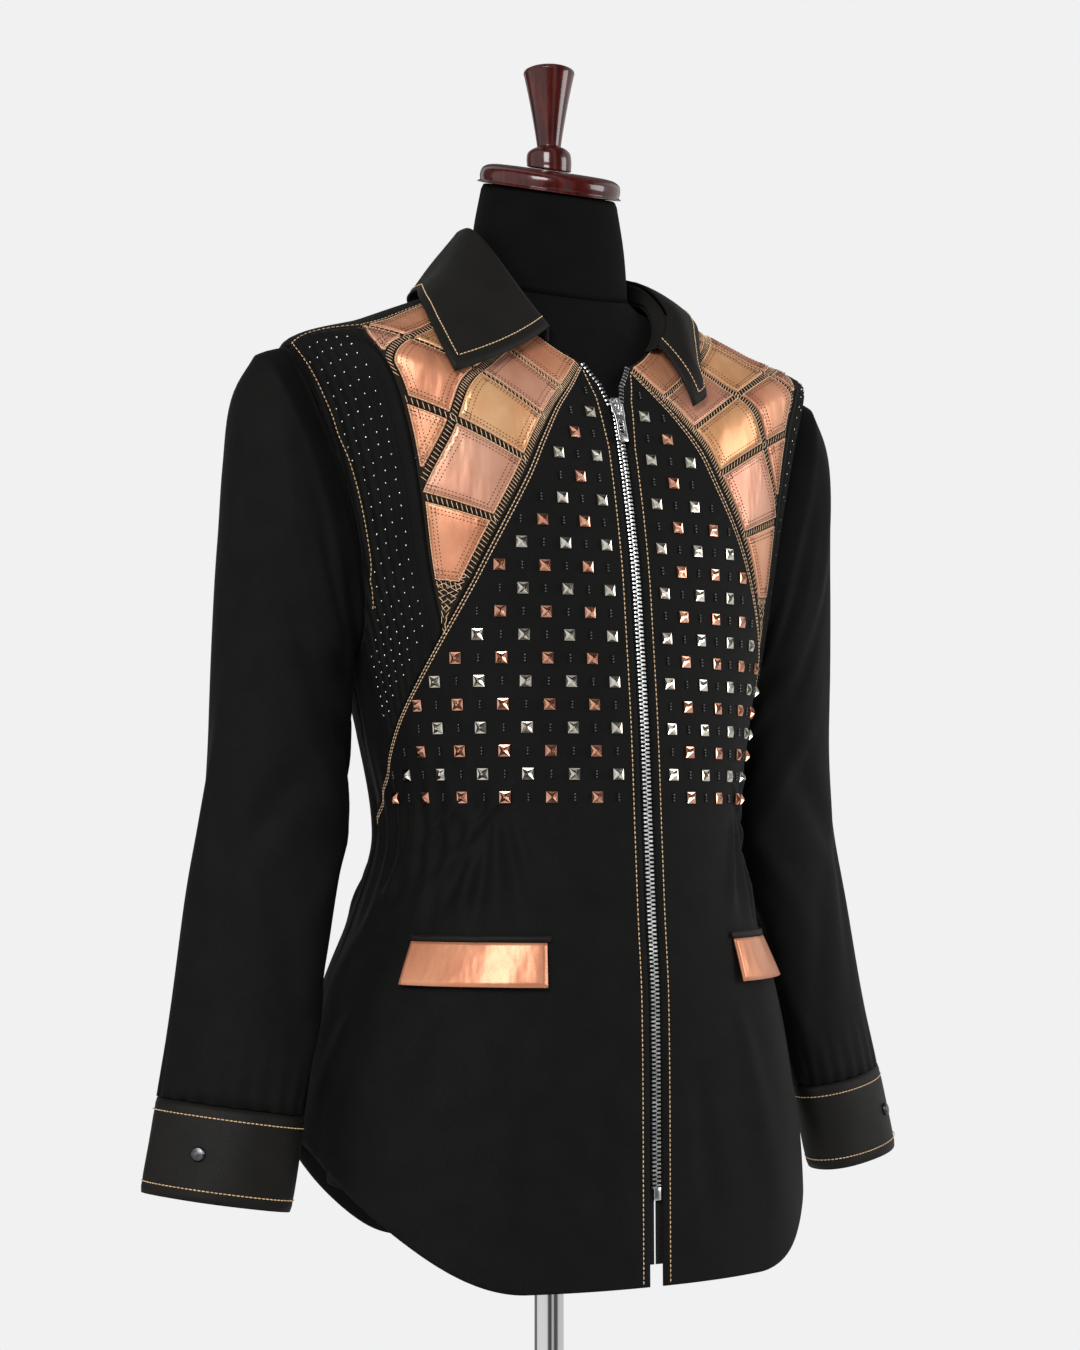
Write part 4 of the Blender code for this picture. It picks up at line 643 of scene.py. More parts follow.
# ---------------------------------------------------------------- materials
class Nodes:
    """Short names for building a material's node tree."""

    def __init__(self, name):
        self.material = bpy.data.materials.new(name)
        self.material.use_nodes = True
        self.tree = self.material.node_tree
        self.shader = self.tree.nodes["Principled BSDF"]

    def add(self, kind, **values):
        node = self.tree.nodes.new(kind)
        for key, value in values.items():
            if key in node.inputs:
                node.inputs[key].default_value = value
            else:
                setattr(node, key, value)
        return node

    def link(self, source, socket, target, entry):
        self.tree.links.new(source.outputs[socket], target.inputs[entry])

    def set(self, **values):
        for key, value in values.items():
            self.shader.inputs[key.replace("_", " ")].default_value = value

    def noise(self, scale, detail=3.0, kind="Object", stretch=(1, 1, 1), roughness=0.5):
        coords = self.add("ShaderNodeTexCoord")
        mapping = self.add("ShaderNodeMapping")
        mapping.inputs["Scale"].default_value = stretch
        noise = self.add("ShaderNodeTexNoise", Scale=scale, Detail=detail, Roughness=roughness)
        self.link(coords, kind, mapping, "Vector")
        self.link(mapping, "Vector", noise, "Vector")
        return noise

    def ramp(self, source, socket, stops):
        ramp = self.add("ShaderNodeValToRGB")
        for element, (at, colour) in zip(ramp.color_ramp.elements, (stops[0], stops[-1])):
            element.position = at
            element.color = (*colour, 1)
        for at, colour in stops[1:-1]:
            ramp.color_ramp.elements.new(at).color = (*colour, 1)
        self.link(source, socket, ramp, "Fac")
        return ramp

    def bump(self, source, socket, strength, distance, under=None):
        bump = self.add("ShaderNodeBump", Strength=strength, Distance=distance)
        self.link(source, socket, bump, "Height")
        if under:
            self.link(under, "Normal", bump, "Normal")
        return bump


def grey(v):
    return (v, v, v)


WAVE_PERIOD = 6.2832        # bands in the wave texture's own units
PLY_PITCH = 0.0009


def cloth_material(name, dark, light, rough=0.74, weave=0.00055, sheen=0.02, kind="UV", gloss=0.14):
    """Fine twill: diagonal ribs at thread scale, mottled tone and a soft sheen."""
    n = Nodes(name)
    coords = n.add("ShaderNodeTexCoord")
    turned = n.add("ShaderNodeMapping")
    turned.inputs["Rotation"].default_value = (0, 0, math.radians(58))
    n.link(coords, kind, turned, "Vector")
    ribs = n.add("ShaderNodeTexWave", Scale=1 / weave / WAVE_PERIOD, Distortion=1.5, Detail=2.0)
    ribs.inputs["Detail Scale"].default_value = 2.0
    n.link(turned, "Vector", ribs, "Vector")
    mottle = n.noise(42.0, 4.0)
    fuzz = n.noise(900.0, 3.0)
    tone = n.ramp(mottle, "Fac", ((0.25, dark), (0.8, light)))
    n.link(tone, "Color", n.shader, "Base Color")
    worn = n.ramp(fuzz, "Fac", ((0.2, grey(rough - 0.08)), (0.8, grey(rough + 0.10))))
    n.link(worn, "Color", n.shader, "Roughness")
    soft = n.bump(fuzz, "Fac", 0.10, 0.0006)
    out = n.bump(ribs, "Fac", 0.22, 0.0002, soft)
    n.link(out, "Normal", n.shader, "Normal")
    n.set(Specular_IOR_Level=gloss, Sheen_Weight=sheen, Sheen_Roughness=0.4)
    n.shader.inputs["Sheen Tint"].default_value = (0.85, 0.80, 0.75, 1)
    return n.material


def leather_material(name, deep, mid, bright):
    """Metallic leather: fine grain, soft pulled creases and a satin gloss."""
    n = Nodes(name)
    tone = n.noise(26.0, 4.0, stretch=(1, 1, 0.6))
    fold = n.noise(38.0, 2.0, stretch=(1.6, 1.6, 0.45))
    grain = n.noise(1500.0, 5.0)
    pores = n.add("ShaderNodeTexVoronoi", Scale=1100.0)
    coords = n.add("ShaderNodeTexCoord")
    n.link(coords, "Object", pores, "Vector")
    colour = n.ramp(tone, "Fac", ((0.25, deep), (0.5, mid), (0.78, bright)))
    n.link(colour, "Color", n.shader, "Base Color")
    rough = n.ramp(grain, "Fac", ((0.2, grey(0.30)), (0.8, grey(0.46))))
    n.link(rough, "Color", n.shader, "Roughness")
    one = n.bump(fold, "Fac", 0.42, 0.004)
    two = n.bump(pores, "Distance", 0.10, 0.0003, one)
    three = n.bump(grain, "Fac", 0.08, 0.0002, two)
    n.link(three, "Normal", n.shader, "Normal")
    n.set(Metallic=0.42, Specular_IOR_Level=0.45, Coat_Weight=0.10, Coat_Roughness=0.28)
    return n.material


def thread_material(name, dark, light):
    """Twisted thread: fine diagonal bands of two tones."""
    n = Nodes(name)
    noise = n.noise(900.0, 2.0)
    tone = n.ramp(noise, "Fac", ((0.3, dark), (0.7, light)))
    n.link(tone, "Color", n.shader, "Base Color")
    ply = n.add("ShaderNodeTexWave", Scale=1 / PLY_PITCH / WAVE_PERIOD, Distortion=0.5)
    ply.bands_direction = "DIAGONAL"
    coords = n.add("ShaderNodeTexCoord")
    n.link(coords, "Object", ply, "Vector")
    out = n.bump(ply, "Fac", 0.35, 0.0002)
    n.link(out, "Normal", n.shader, "Normal")
    n.set(Roughness=0.52, Specular_IOR_Level=0.4, Sheen_Weight=0.2)
    return n.material


def metal_material(name, dark, light, rough, scratch=0.03, scale=400.0):
    """Plated or polished metal, with uneven tone and gloss."""
    n = Nodes(name)
    wear = n.noise(scale, 4.0)
    tone = n.ramp(wear, "Fac", ((0.3, dark), (0.75, light)))
    n.link(tone, "Color", n.shader, "Base Color")
    gloss = n.ramp(wear, "Fac", ((0.2, grey(max(rough - 0.05, 0.03))), (0.8, grey(rough + 0.07))))
    n.link(gloss, "Color", n.shader, "Roughness")
    out = n.bump(wear, "Fac", scratch, 0.0002)
    n.link(out, "Normal", n.shader, "Normal")
    n.set(Metallic=1.0)
    return n.material


def wood_material(name):
    """Dark red wood under thick varnish: long grain along the turning, deep and even."""
    n = Nodes(name)
    grain = n.noise(34.0, 6.0, stretch=(6, 6, 0.7), roughness=0.6)
    figure = n.noise(9.0, 3.0, stretch=(3, 3, 0.5))
    tone = n.ramp(grain, "Fac", ((0.28, (0.014, 0.0010, 0.0008)), (0.52, (0.062, 0.0038, 0.0026)),
                                 (0.75, (0.130, 0.0100, 0.0050))))
    n.link(tone, "Color", n.shader, "Base Color")
    out = n.bump(figure, "Fac", 0.03, 0.002)
    n.link(out, "Normal", n.shader, "Normal")
    n.set(Roughness=0.22, Specular_IOR_Level=0.3, Coat_Weight=0.8, Coat_Roughness=0.03, Coat_IOR=1.45)
    return n.material


def jet_material(name):
    """Polished black glass."""
    n = Nodes(name)
    n.set(Roughness=0.08, Specular_IOR_Level=0.7, Coat_Weight=0.6, Coat_Roughness=0.03)
    tone = n.ramp(n.noise(700.0), "Fac", ((0.3, (0.008, 0.008, 0.009)), (0.7, (0.020, 0.020, 0.022))))
    n.link(tone, "Color", n.shader, "Base Color")
    return n.material


BLACK = cloth_material("black_cloth", (0.0026, 0.0025, 0.0024), (0.0052, 0.0050, 0.0047))
COLLAR_BLACK = cloth_material("collar_cloth", (0.0050, 0.0046, 0.0040), (0.0090, 0.0082, 0.0070),
                              rough=0.60, sheen=0.03, gloss=0.20)
STRIP = cloth_material("ladder_strip", (0.010, 0.007, 0.005), (0.020, 0.014, 0.009), rough=0.7)
TAPE_BLACK = cloth_material("zip_tape", grey(0.006), grey(0.012), weave=0.0009)
JERSEY = cloth_material("form_jersey", grey(0.0024), grey(0.0040), rough=0.88, kind="Object",
                        sheen=0.01, gloss=0.10)
COPPER = leather_material("copper_leather", (0.52, 0.185, 0.095), (0.70, 0.29, 0.155), (0.86, 0.44, 0.25))
ROSE = leather_material("rose_leather", (0.50, 0.20, 0.125), (0.68, 0.32, 0.205), (0.82, 0.45, 0.31))
GOLD = leather_material("gold_leather", (0.60, 0.25, 0.10), (0.80, 0.40, 0.185), (0.95, 0.60, 0.32))
TAN = thread_material("tan_thread", (0.62, 0.34, 0.15), (0.98, 0.72, 0.42))
CORD = thread_material("edge_cord", (0.68, 0.38, 0.20), (0.98, 0.74, 0.48))
BROWN = thread_material("brown_thread", (0.050, 0.018, 0.010), (0.14, 0.055, 0.030))
NICKEL = metal_material("nickel", grey(0.82), grey(0.94), 0.20, 0.01, 90.0)
TEETH = metal_material("zip_teeth", grey(0.74), grey(0.92), 0.30, 0.01, 90.0)
GUNMETAL = metal_material("gunmetal", (0.05, 0.05, 0.055), (0.14, 0.14, 0.15), 0.26)
CHROME = metal_material("chrome", grey(0.80), grey(0.88), 0.06, 0.004, 24.0)
COPPER_STUD = metal_material("copper_stud", (0.74, 0.32, 0.20), (0.98, 0.54, 0.38), 0.14, 0.01, 90.0)
SILVER_STUD = metal_material("champagne_stud", (0.62, 0.58, 0.47), (0.92, 0.90, 0.82), 0.12, 0.01, 90.0)
BEAD = metal_material("silver_bead", grey(0.52), grey(0.88), 0.22)
JET = jet_material("jet_bead")
WOOD = wood_material("varnished_wood")


# ---------------------------------------------------------------- fronts
def front_outline():
    """Up the zip, along the open neck, down the chest seam and the side seam, and round the hem."""
    levels = np.linspace(hem(0.0), ZIP_TOP_LEVEL, 170)
    edge = np.stack((front_edge(levels), levels), -1)
    turn, rise = OPENING_CORNER
    opening = np.concatenate((run((edge[-1, 0], turn), (ZIP_TOP_LEVEL, rise), 6),
                              run((turn, CHEST_SEAM[-1][1]), (rise, NECK_LEVEL), 6)))
    seam = seam_run(CHEST_SEAM, NECK_LEVEL, CHEST_SEAM[0][0], 150)
    side = run((SIDE_SEAM_ANGLE, SIDE_SEAM_ANGLE), (WAIST_LEVEL, float(hem(SIDE_SEAM_ANGLE))), 60)
    angles = np.linspace(SIDE_SEAM_ANGLE, edge[0, 0], 100)
    return joined(edge, opening, seam, side, np.stack((angles, hem(angles)), -1))


def level_at(angle, height):
    """Level of the trunk at each angle where it passes a height."""
    angle = np.asarray(angle, float)
    low, high = np.full(angle.shape, TRUNK_RINGS[0, 0]), np.full(angle.shape, NECK_LEVEL)
    for _ in range(26):
        middle = (low + high) / 2
        below = base(angle, middle)[..., 2] < height
        low, high = np.where(below, middle, low), np.where(below, high, middle)
    return (low + high) / 2


def stud_grid(outline):
    """Angle, level, row and whether it is a stud, for each place of the staggered grid."""
    angles = np.arange(0.0, SIDE_SEAM_ANGLE, 0.25)
    found = []
    top = base(0.0, NECK_LEVEL)[2]
    for row in range(int((top - STUD_LOW_LEVEL) / STUD_PITCH)):
        height = STUD_LOW_LEVEL + row * STUD_PITCH
        levels = level_at(angles, height)
        line = base(angles, levels)
        arcs = np.concatenate(([0], np.cumsum(np.linalg.norm(np.diff(line, axis=0), axis=1))))
        wanted = np.arange(STUD_FIRST_ARC, arcs[-1], STUD_PITCH)
        for column, angle in enumerate(np.interp(wanted, arcs, angles), start=1):
            level = float(level_at(angle, height))
            place = plan(angle, level)[None]
            if inside(place, outline)[0] and distance_to(place, outline)[0] > STUD_SIZE:
                found.append((angle, level, row, (row + column) % 2 == 0))
    return found


CORNERS = ((-1, -1), (1, -1), (1, 1), (-1, 1))
MIDDLES = ((0, -1), (1, 0), (0, 1), (-1, 0))
# rings of a stud, in its own sizes: directions, how far out, how high
STUD_RINGS = ((CORNERS, 0.5, 0.0), (CORNERS, 0.5, 0.12), (MIDDLES, 0.30, 0.16), (CORNERS, 0.07, 0.42))


def pyramid():
    """A square stud with sunken sides: its points, in its own sizes, and its faces."""
    points = [(x * far, y * far, high) for ways, far, high in STUD_RINGS for x, y in ways]
    faces = [[12, 13, 14, 15], [3, 2, 1, 0]]
    for k in range(4):
        n = (k + 1) % 4
        faces += [[k, n, 4 + n, 4 + k], [4 + k, 4 + n, 8 + k], [4 + k, 8 + k, 12 + k],
                  [8 + k, 4 + n, 12 + n], [8 + k, 12 + n, 12 + k]]
    return np.array(points), faces


def up_way(out):
    """The direction up the cloth at a point, square to its outward direction."""
    across = unit(np.cross((0.0, 0.0, 1.0), out))
    return np.cross(out, across)


def dress_front(side, word):
    """The front's cloth, studs, jet beads and stitching."""
    outline = drawn_in(front_outline(), SEAM_GAP / 2)
    panel("front_cloth_" + word, outline, BLACK, "front_" + word, side, flat=(0.34, 0.72))
    placed = stud_grid(outline)
    stud, stud_faces = pyramid()
    for kind, parity, material in (("copper", 0, COPPER_STUD), ("champagne", 1, SILVER_STUD)):
        chosen = [s for s in placed if s[3] and s[2] % 2 == parity]
        at = np.array([trunk(a, v, 0.0002) for a, v, _, _ in chosen])
        out = np.array([normal(a, v) for a, v, _, _ in chosen])
        up = np.array([up_way(o) for o in out])
        copies(f"studs_{kind}_{word}", at, up, out, stud * STUD_SIZE, stud_faces, material, side, flat=True)
    spots, ups, outs = [], [], []
    for a, v, row, is_stud in placed:
        if is_stud:
            continue
        out = normal(a, v)
        up = up_way(out)
        for shift in (-BEAD_STEP, 0.0, BEAD_STEP):
            spots.append(trunk(a, v, 0.0007) + up * shift)
            ups.append(up)
            outs.append(out)
    shape, faces = ball(0.00085, 1.15, 7, 5)
    copies("jet_beads_" + word, spots, ups, outs, shape, faces, JET, side)
    levels = np.concatenate((np.linspace(hem(0.0) + 0.002, 1.40, 200), np.linspace(1.404, 1.462, 20)))
    away = np.interp(levels, (1.40, 1.462), (EDGE_STITCH_X, EDGE_STITCH_TOP_X))
    up_the_opening = np.linspace(0, 1, 14)[1:, None] * ((13.6, 1.491),) + np.linspace(1, 0, 14)[1:, None] * (
        (float(front_edge(levels[-1], away[-1])), levels[-1]),)
    line = np.concatenate((np.stack((front_edge(levels, away), levels), -1), up_the_opening))
    stitches("front_stitching_" + word, [on_trunk(*line.T, 0.0002)], TAN, side=side)
    levels = np.linspace(1.062, 1.494, 180)
    seam = table(CHEST_SEAM, levels)
    lines = [on_trunk(seam - math.degrees(d / PLAN_RADIUS), levels, 0.0002) for d in (0.0016, 0.0038)]
    stitches("chest_seam_stitching_" + word, lines, CORD, side=side, step=0.0030, length=0.0025,
             radius=0.00042)


def flap_lift(angle, level):
    share = (level - FLAP_LEVELS[0]) / (FLAP_LEVELS[1] - FLAP_LEVELS[0])
    return LEATHER + FLAP_LIFTS[0] + (FLAP_LIFTS[1] - FLAP_LIFTS[0]) * share


def box_outline(a0, a1, v0, v1, steps_across, steps_up):
    """A panel between two angles and two levels."""
    return joined(run((a0, a1), (v0, v0), steps_across), run((a1, a1), (v0, v1), steps_up),
                  run((a1, a0), (v1, v1), steps_across), run((a0, a0), (v1, v0), steps_up))


def welt_lift(angle, level):
    return np.full(np.shape(angle), CLOTH + WELT_LIFT)


def dress_pocket(side, word):
    """The pocket's flap and the welt above it, a little wider than the flap."""
    (a0, a1), (v0, v1) = FLAP_ANGLES, FLAP_LEVELS
    panel("flap_leather_" + word, box_outline(a0, a1, v0, v1, 40, 14), COPPER, "pocket_flap_" + word, side,
          LEATHER, flap_lift, (0.0025, 0.0025))
    low = v1 + WELT_GAP
    outline = box_outline(a0 - 1, a1 + 0.6, low, low + WELT_HEIGHT, 40, 2)
    panel("welt_cloth_" + word, outline, COLLAR_BLACK, "pocket_welt_" + word, side, CLOTH, welt_lift,
          (0.002, 0.0015))


# ---------------------------------------------------------------- shoulder panels
def tuck_seam(level):
    return table(TUCK_SEAM, np.maximum(level, TUCK_SEAM[0][0]))


def tuck_share(angle, level):
    """How many tucks in from the patchwork a place lies."""
    return (angle - tuck_seam(np.minimum(level, TUCK_SEAM[-1][0]))) / TUCK_STEP


def tuck_lift(angle, level):
    """Pintucks: narrow folds laid to one side, fading out at the top and the bottom."""
    share = tuck_share(angle, level)
    phase = np.mod(share, 1.0)
    ridge = np.exp(-((phase - 0.42) / 0.16) ** 2) + 0.25 * np.exp(-((phase - 0.75) / 0.2) ** 2)
    inside_range = np.clip((share - 0.3) / 0.4, 0, 1) * np.clip((TUCK_COUNT + 0.6 - share) / 0.4, 0, 1)
    fade = np.clip((level - 1.062) / 0.03, 0, 1) * np.clip((1.376 - level) / 0.02, 0, 1)
    return TUCK_RISE * ridge * inside_range * fade


def dress_tucks(side, word):
    tip = CHEST_SEAM[5]
    levels = np.linspace(WAIST_LEVEL, 1.186, 50)
    turns = np.arange(180.0, SHOULDER_STEP - 0.1, -2.5)
    hole = np.stack(armhole(turns), -1)
    outline = drawn_in(joined(
        seam_run(CHEST_SEAM, tip[0], CHEST_SEAM[0][0], 60), np.stack((side_seam(levels), levels), -1), hole,
        run((float(armhole(SHOULDER_STEP)[0]), TUCK_SEAM[-1][1]),
            (float(armhole(SHOULDER_STEP)[1]), TUCK_SEAM[-1][0]), 16),
        seam_run(TUCK_SEAM, TUCK_SEAM[-1][0], TUCK_SEAM[0][0], 60)), SEAM_GAP / 2)
    places = []
    for share in np.arange(0.5, 14.0, 1 / 7):
        level = np.arange(1.060, 1.400, 0.0042)
        angle = tuck_seam(np.minimum(level, TUCK_SEAM[-1][0])) + share * TUCK_STEP
        places.append(plan(angle, level))
    places = np.concatenate(places)
    places = places[inside(places, outline)]
    places = places[distance_to(places, outline) > 0.0010]
    panel("tucked_cloth_" + word, outline, BLACK, "tucked_panel_" + word, side, CLOTH, tuck_lift,
          extra=places)
    spots, ups, outs = [], [], []
    for tuck in range(TUCK_COUNT):
        for number, level in enumerate(np.arange(1.085 + 0.003 * (tuck % 2), 1.372, 0.0072)):
            share = tuck + 0.92 + 0.12 * math.sin(number * 2.4)
            angle = float(tuck_seam(min(level, TUCK_SEAM[-1][0]))) + share * TUCK_STEP
            place = plan(angle, level)[None]
            if not inside(place, outline)[0] or distance_to(place, outline)[0] < 0.009:
                continue
            out = normal(angle, level)
            spots.append(trunk(angle, level, 0.0004 + float(tuck_lift(np.array(angle), np.array(level)))))
            ups.append(up_way(out))
            outs.append(out)
    shape, faces = ball(0.00082, 1.0, 7, 5)
    copies("silver_beads_" + word, spots, ups, outs, shape, faces, BEAD, side)
    turns = np.linspace(22.0, 128.0, 120)
    angle, level = armhole(turns, -0.0095)
    line = on_trunk(angle, level, tuck_lift(angle, level) + 0.0004)
    stitches("armhole_stitching_" + word, [line], TAN, side=side)


def chest(level):
    return table(CHEST_SEAM, level)


def tuck_bound(level):
    return np.where(np.asarray(level) > TUCK_SEAM[-1][0], SHOULDER_SEAM_ANGLE,
                    table(TUCK_SEAM, np.minimum(level, TUCK_SEAM[-1][0])))


def inner(level):
    return table(INNER_LADDER, np.maximum(level, INNER_LADDER[0][0]))


def outer(level):
    return np.minimum(table(OUTER_LADDER, np.maximum(level, OUTER_LADDER[0][0])), tuck_bound(level) - 0.8)


def cell_outline(low, high, left, right, first_column, last_column, top_row):
    narrow = math.degrees(LADDER_HALF / LADDER_RADIUS)
    left_in = narrow * (CHEST_LADDER_SHARE if first_column else 1.0)
    right_in = narrow * (0.9 if last_column else 1.0)
    bottom, top = low + LADDER_HALF, high - (0.0022 if top_row else LADDER_HALF)
    levels = np.linspace(bottom, top, 25)
    width = right(levels) - right_in - left(levels) - left_in
    wide = levels[width > 0.8]
    if not len(wide) or wide[-1] - wide[0] < 0.014 or width.max() < 5.0:
        return None
    levels = np.linspace(wide[0], wide[-1], 18)
    up_right = np.stack((right(levels) - right_in, levels), -1)
    down_left = np.stack((left(levels[::-1]) + left_in, levels[::-1]), -1)
    low_side = run((down_left[-1, 0], up_right[0, 0]), (down_left[-1, 1], up_right[0, 1]), 14)[1:-1]
    high_side = run((up_right[-1, 0], down_left[0, 0]), (up_right[-1, 1], down_left[0, 1]), 14)[1:-1]
    return joined(low_side, up_right, high_side, down_left)


def patch_cells():
    levels = (TUCK_SEAM[0][0] + 0.012,) + LADDER_LEVELS + (NECK_LEVEL,)
    cells = []
    for row, (low, high) in enumerate(zip(levels, levels[1:])):
        bounds = (chest, tuck_bound) if row < 2 else (chest, inner, tuck_bound) if row < 3 else (
            chest, inner, outer, tuck_bound)
        for column, (left, right) in enumerate(zip(bounds, bounds[1:])):
            outline = cell_outline(low, high, left, right, left is chest, right is tuck_bound,
                                   row == len(LADDER_LEVELS))
            if outline is not None:
                cells.append((row, column, outline))
    return cells


def patch_lift(outline):
    """A patch is crowned a little, and rounds down at its cut edge."""
    def lift(angle, level):
        places = plan(angle, level).reshape(-1, 2)
        near = distance_to(places, outline).reshape(np.shape(angle))
        return 0.0004 + 0.0007 * (1 - np.exp(-near / 0.004))
    return lift


def dress_lattice(side, word):
    tip = TUCK_SEAM[0]
    levels = np.linspace(1.392, NECK_LEVEL, 30)
    angles = np.linspace(SHOULDER_SEAM_ANGLE, CHEST_SEAM[-1][1], 60)
    outline = drawn_in(joined(
        seam_run(CHEST_SEAM, NECK_LEVEL, tip[0], 100), seam_run(TUCK_SEAM, tip[0], TUCK_SEAM[-1][0], 60),
        np.stack((np.full(30, SHOULDER_SEAM_ANGLE), levels), -1),
        np.stack((angles, np.full(60, NECK_LEVEL)), -1)), SEAM_GAP / 2)
    cells = patch_cells()
    panel("ladder_cloth_" + word, outline, STRIP, "lattice_" + word, side, CLOTH, None, (0.0022, 0.0022),
          holes=[cell[2] for cell in cells])
    rows, cords, rungs = [], [], []
    for row, column, hole in cells:
        shape = drawn_in(hole, SEAM_GAP)
        tone = (GOLD, COPPER, ROSE)[(2 * row + column) % 3] if row > 2 else (ROSE, COPPER)[(row + column) % 2]
        panel(f"leather_{word}_{row}_{column}", shape, tone, f"patch_{word}_{row}_{column}", side,
              LEATHER + 0.0004, patch_lift(shape), (0.0024, 0.0024))
        for inset, out, group in ((0.0034, 0.0010, rows), (0.0058, 0.0011, rows), (0.0009, 0.0010, cords)):
            ring = drawn_in(hole, inset)
            ring = np.concatenate((ring, ring[:1]))
            group.append(on_trunk(*unplan(ring), out))
    for level in LADDER_LEVELS:
        angles = np.arange(float(chest(level)) + 1.6, float(tuck_bound(level)) - 0.6, RUNG_ANGLE)
        reach = np.array((-1.0, 1.0))
        rungs += [on_trunk(a + 0.30 * reach, level + reach * (LADDER_HALF + 0.0006), 0.0003) for a in angles]
    for number, low in enumerate(np.arange(1.203, 1.234, 0.0034)):
        for rise in (0.0075, -0.0075):
            levels = low + np.linspace(0, rise, 9)
            edges = float(chest(levels[0])) + 1.0, float(tuck_bound(levels[-1])) - 0.7
            rungs.append(on_trunk(np.linspace(*edges, 9), levels, 0.0005 + 0.0002 * (number % 2)))
    half = math.degrees(LADDER_HALF / LADDER_RADIUS)
    for line, low, first, last in (
            (inner, 1.276, -1.1, 1.1), (outer, 1.333, -1.1, 1.1), (chest, 1.232, 0.8, 2.7)):
        for level in np.arange(low + 0.002, NECK_LEVEL - 0.004, 0.0030):
            turn = float(line(level)) + half * np.array((first, last))
            ends = plan(turn, level + np.array((-0.0012, 0.0012)))
            if inside(ends, outline).all():
                rungs.append(on_trunk(*unplan(ends), 0.0003))
    stitches("patch_stitching_" + word, rows, BROWN, side=side, step=0.0026, length=0.0014, radius=0.00034)
    stitches("patch_cord_" + word, cords, CORD, side=side, step=0.0024, length=0.0026, radius=0.00042)
    stitches("ladder_rungs_" + word, rungs, CORD, side=side, step=0.0060, length=0.0056, radius=0.00028)


# ---------------------------------------------------------------- back and yoke
def mirrored(rows):
    """Rows of (angle, level) turned to the other side, in the other order."""
    rows = np.asarray(rows)[::-1].copy()
    rows[:, 0] = 360.0 - rows[:, 0]
    return rows


def hole_run(start, end, count):
    return np.stack(armhole(np.linspace(start, end, count)), -1)


def build_back():
    turns = hole_run(-180.0, YOKE_STEP, 80)
    levels = np.linspace(1.186, WAIST_LEVEL, 50)
    side = np.stack((side_seam(levels), levels), -1)
    down = run((SIDE_SEAM_ANGLE, SIDE_SEAM_ANGLE), (WAIST_LEVEL, float(hem(SIDE_SEAM_ANGLE))), 60)
    angles = np.linspace(SIDE_SEAM_ANGLE, 360.0 - SIDE_SEAM_ANGLE, 180)
    left = np.concatenate((turns[::-1], side, down))
    low = np.stack((angles, hem(angles)), -1)
    right = mirrored(left)
    across = run((right[-1, 0], left[0, 0]), (right[-1, 1], left[0, 1]), 90)
    outline = drawn_in(joined(left, low, right, across), SEAM_GAP / 2)
    panel("back_cloth", outline, BLACK, "back", spacing=(0.0030, 0.0045), flat=(0.62, 0.80))


def build_yoke():
    left = hole_run(SHOULDER_STEP, YOKE_STEP, 30)
    shoulder = np.array([(SHOULDER_SEAM_ANGLE - 1, TUCK_SEAM[-1][0])])
    neck_end = run((SHOULDER_SEAM_ANGLE, SHOULDER_SEAM_ANGLE), (NECK_LEVEL, 1.392), 30)
    one = np.concatenate((neck_end, shoulder, left))
    across = run((left[-1, 0], 360.0 - left[-1, 0]), (left[-1, 1], left[-1, 1]), 90)
    neck = run((360.0 - SHOULDER_SEAM_ANGLE, SHOULDER_SEAM_ANGLE), (NECK_LEVEL, NECK_LEVEL), 100)
    outline = drawn_in(joined(one, across, mirrored(one), neck), SEAM_GAP / 2)
    panel("yoke_cloth", outline, BLACK, "yoke", flat=(0.50, 0.20))
    for side, word in ((-1, "right"), (1, "left")):
        end = armhole(SHOULDER_STEP)
        line = np.concatenate((
            run((SHOULDER_SEAM_ANGLE + 0.7, SHOULDER_SEAM_ANGLE + 0.7), (1.490, 1.394), 60),
            run((SHOULDER_SEAM_ANGLE + 0.4, float(end[0]) - 1.0), (1.3905, float(end[1]) + 0.003), 20)))
        stitches("shoulder_stitching_" + word, [on_trunk(*line.T, 0.0003)], TAN, side=side)
    angles = np.linspace(left[-1, 0] + 3, 357.0 - left[-1, 0], 160)
    level = float(left[-1, 1]) + 0.0022
    stitches("yoke_stitching", [on_trunk(angles, level, 0.0003)], TAN)


# ---------------------------------------------------------------- sleeves and cuffs
def smooth_table(rows, parts):
    rows = np.asarray(rows, float)
    return smooth_rows(rows[:, None, :], parts)[:, 0]


def ring_points(ring, sides, out=0.0):
    """Points round one ring of a sleeve, and their directions outwards."""
    x, y, z, lean, long, short, turn = ring[:7]
    lean, turn = math.radians(lean), math.radians(turn)
    angle = 2 * np.pi * np.arange(sides) / sides - turn
    away, ahead = long * np.cos(angle), short * np.sin(angle)
    first = away * math.cos(turn) - ahead * math.sin(turn)
    second = away * math.sin(turn) + ahead * math.cos(turn)
    outward, forward = np.array((math.cos(lean), 0, math.sin(lean))), np.array((0, -1.0, 0))
    points = np.array((x, y, z)) + first[:, None] * outward + second[:, None] * forward
    steep = np.stack((np.cos(angle) / long, np.sin(angle) / short), -1)
    facing = unit((steep[:, 0] * math.cos(turn) - steep[:, 1] * math.sin(turn))[:, None] * outward
                  + (steep[:, 0] * math.sin(turn) + steep[:, 1] * math.cos(turn))[:, None] * forward)
    return points + facing * np.asarray(out)[..., None], facing


